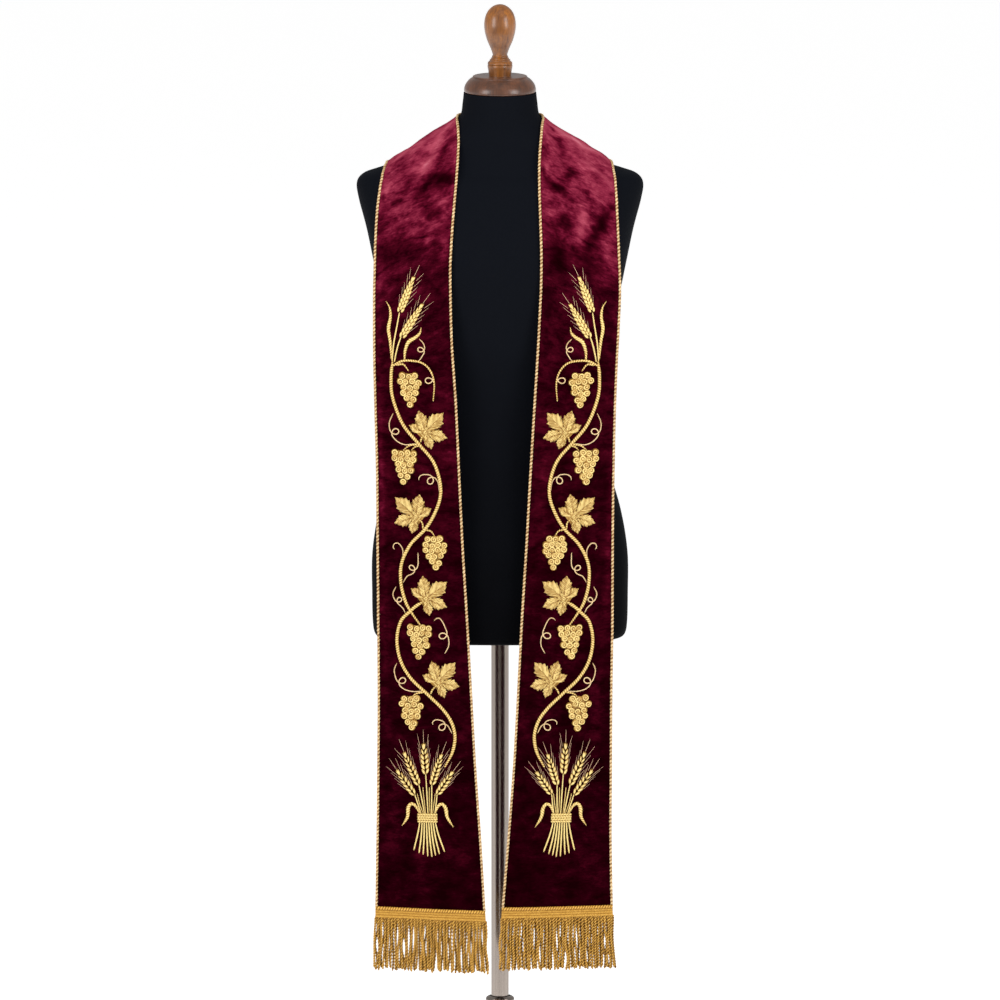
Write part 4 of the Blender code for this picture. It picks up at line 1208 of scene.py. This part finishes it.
def embroideryPart(seed):
    random = np.random.default_rng(seed)
    parts, curls, bristles = [], [], []
    for width, path in vine["stems"]:
        shape = stemShape if width > 4 else twigShape
        parts.append(sweptPart(path, width, vine["height"] * min(width / 5, 1), shape, 12,
                               0.7, stitch=3.3, slant=0.6, lift=0.2, light=0.84))
    for path, share, radius, hand in vine["tendrils"]:
        curls.append(sweptPart(curled(path, share, radius, hand), vine["tendrilWidth"],
                               vine["tendrilHeight"], **tendril))
    for bunch in grapes["bunches"]:
        parts += bunchParts(*bunch, random)
    parts += [leafPart(*place) for place in leaves["places"]]
    for ear in wheat["ears"]:
        kernels, awns = earParts(*ear, random)
        parts += kernels
        bristles += awns
    for path in wheat["stalks"]:
        parts.append(sweptPart(path, 2.3, 1.6, **{**straw, "spacing": 1.6}))
    for width, path in wheat["blades"] + wheat["ribbons"]:
        parts.append(sweptPart(path, width, 2.0, bladeShape, 10, 1.0))
    parts += sheafParts()
    faces = [sum(len(part["quads"]) for part in kind) for kind in (parts, curls, bristles)]
    return joined(parts + curls + bristles), np.repeat([0, 1, 2], faces)


net = {"low": 345, "high": 1300, "step": 2.0, "columns": 60}  # mm


def clothLookup(cloth):
    # the hanging cloth's depth on a regular net of heights and shares across
    face = cloth["middle"] + cloth["normals"] * stole["thickness"] / 2
    down = np.argmax((face[:, :, 2] < 1330).all(axis=1) & (face[:, :, 1] < 0).all(axis=1))
    face = face[down:][::-1]
    levels = np.arange(net["low"], net["high"], net["step"])
    share = np.linspace(0, 1, net["columns"] + 1)
    x, y = (np.stack([np.interp(levels, column[:, 2], column[:, i])
                      for column in face.swapaxes(0, 1)], 1) for i in (0, 1))
    first, last = x[:, :1], x[:, -1:]
    even = (x - first) / (last - first)
    depth = np.stack([np.interp(share, even[i], y[i]) for i in range(len(levels))])
    return {"levels": levels, "first": first[:, 0], "last": last[:, 0], "depth": depth}


def edgesAt(look, z):
    return np.interp(z, look["levels"], look["first"]), np.interp(z, look["levels"], look["last"])


def depthAt(look, x, z):
    at = ((z - net["low"]) / net["step"]).clip(0, len(look["levels"]) - 1.001)
    first, last = edgesAt(look, z)
    across = ((x - first) / (last - first) * net["columns"]).clip(0, net["columns"] - 0.001)
    row, column = at.astype(int), across.astype(int)
    part, over = at - row, across - column
    d = look["depth"]
    low = d[row, column] * (1 - over) + d[row, column + 1] * over
    high = d[row + 1, column] * (1 - over) + d[row + 1, column + 1] * over
    return low * (1 - part) + high * part


def makeEmbroidery(side, cloth):
    look = clothLookup(cloth)
    part, finishOf = embroideryPart(3 if side == "left" else 4)
    across, z, rise = part["points"].T
    centre = sum(edgesAt(look, z)) / 2
    x = centre + across if side == "left" else centre - across
    slopeX = (depthAt(look, x + 1, z) - depthAt(look, x - 1, z)) / 2
    slopeZ = (depthAt(look, x, z + 1) - depthAt(look, x, z - 1)) / 2
    normal = unit(np.stack([slopeX, -np.ones(len(x)), slopeZ], -1))
    part["points"] = (np.stack([x, depthAt(look, x, z), z], -1)
                      + normal * (rise + 0.35)[:, None])
    if side == "right":
        part["quads"], part["uv"] = part["quads"][:, ::-1], part["uv"][:, ::-1]
    return buildPiece(f"goldwork_{side}", part, [goldThread, goldCord, fineThread], "form",
                      finishOf=finishOf)


for side in ("left", "right"):
    cloth = makeCloth(side)
    panel = makePanel(side, cloth)
    trims = makeCords(side, cloth)
    trims += [makeBraid(side, cloth), makeFringe(side, cloth), makeEmbroidery(side, cloth)]
    print("stole", side, "length", round(cloth["length"]))


studio = {
    "world": 0.45, "worldColour": "#ffffff", "floorRadii": (60, 8, 1, 0.01), "floorLevel": -0.0004,
    "floorGlow": 0.55,
    # softboxes: x, y, z, width, height, m, power, and whether shiny things mirror them
    "boxes": [
        (-2.45, -2.3, 2.0, 1.3, 2.2, 60, True), (2.45, -2.3, 2.0, 1.3, 2.2, 60, True),
        (0.0, -0.9, 3.4, 2.2, 1.2, 50, False)],
    # the card's inner and outer radius, m, and degrees to each side of the front
    "card": (2.6, 14, 66), "cardLevel": 0.002, "cardColour": "#3a281d", "aim": (0, 0, 1.15),
    "distance": 60.0, "elevation": 8.0, "frameWidth": 1.38, "aimHeight": 0.9102}


def makeFlat(name, radii, angles, level, wrap, finish, unseenBy=()):
    # a flat ring, or a sector of one, about the Z axis, m
    radii = np.array(radii)[:, None]
    places = radii * np.cos(angles), radii * np.sin(angles), level
    part = gridPart(np.stack(np.broadcast_arrays(*places), -1), wrap=wrap, caps=False)
    mesh = bpy.data.meshes.new(name)
    mesh.from_pydata(part["points"].tolist(), [], part["quads"].tolist())
    mesh.materials.append(finish)
    flat = addObject(name, mesh)
    for ray in unseenBy:
        setattr(flat, "visible_" + ray, False)


def makeStage():
    s = studio
    paper, tree = startFinish("palePaper", Roughness=0.9, Specular_IOR_Level=0.1,
                              Emission_Color=hexColour("#ffffff"),
                              Emission_Strength=s["floorGlow"])
    soft = addNode(tree, "TexNoise", Vector=addNode(tree, "TexCoord", give="Object"), Scale=0.4)
    dress(paper, Base_Color=colourRamp(tree, soft, (0.0, "#fafafa"), (1.0, "#fdfdfd")))
    makeFlat("studio_floor", s["floorRadii"], ringAngles(96), s["floorLevel"], True, paper)

    world = bpy.data.worlds.new("studio")
    world.use_nodes = True
    background = world.node_tree.nodes["Background"]
    feed([(background.inputs["Color"], hexColour(s["worldColour"])),
          (background.inputs["Strength"], s["world"])])
    bpy.context.scene.world = world
    bpy.context.scene.view_settings.view_transform = "Standard"

    # a brown card lies on the floor in front, for the steel to mirror
    inner, outer, spread = s["card"]
    card, _ = startFinish("brownCard", Roughness=0.9, Specular_IOR_Level=0.0,
                          Base_Color=hexColour(s["cardColour"]))
    makeFlat("studio_card", (inner, outer), np.radians(np.linspace(spread, -spread, 45) - 90),
             s["cardLevel"], False, card, ("camera", "diffuse", "shadow"))

    for i, (x, y, z, width, height, power, shines) in enumerate(s["boxes"]):
        data = bpy.data.lights.new(f"softbox{i}", "AREA")
        data.shape = "RECTANGLE"
        data.size, data.size_y, data.energy = width, height, power
        box = addObject(data.name, data)
        box.location = (x, y, z)
        aside = box.location - Vector(s["aim"])
        box.rotation_euler = aside.to_track_quat("Z", "Y").to_euler()
        box.visible_camera = False
        box.visible_glossy = shines


def makeCamera():
    data = bpy.data.cameras.new("camera")
    data.sensor_width = 36
    data.lens = 36 * studio["distance"] / studio["frameWidth"]
    data.clip_end = 200
    camera = addObject("camera", data)
    tilt = math.radians(studio["elevation"])
    camera.location = (0, -studio["distance"] * math.cos(tilt),
                       studio["aimHeight"] + studio["distance"] * math.sin(tilt))
    camera.rotation_euler = (math.pi / 2 - tilt, 0, 0)
    bpy.context.scene.camera = camera


makeStage()
makeCamera()
print("stage made")

bpy.context.view_layer.update()
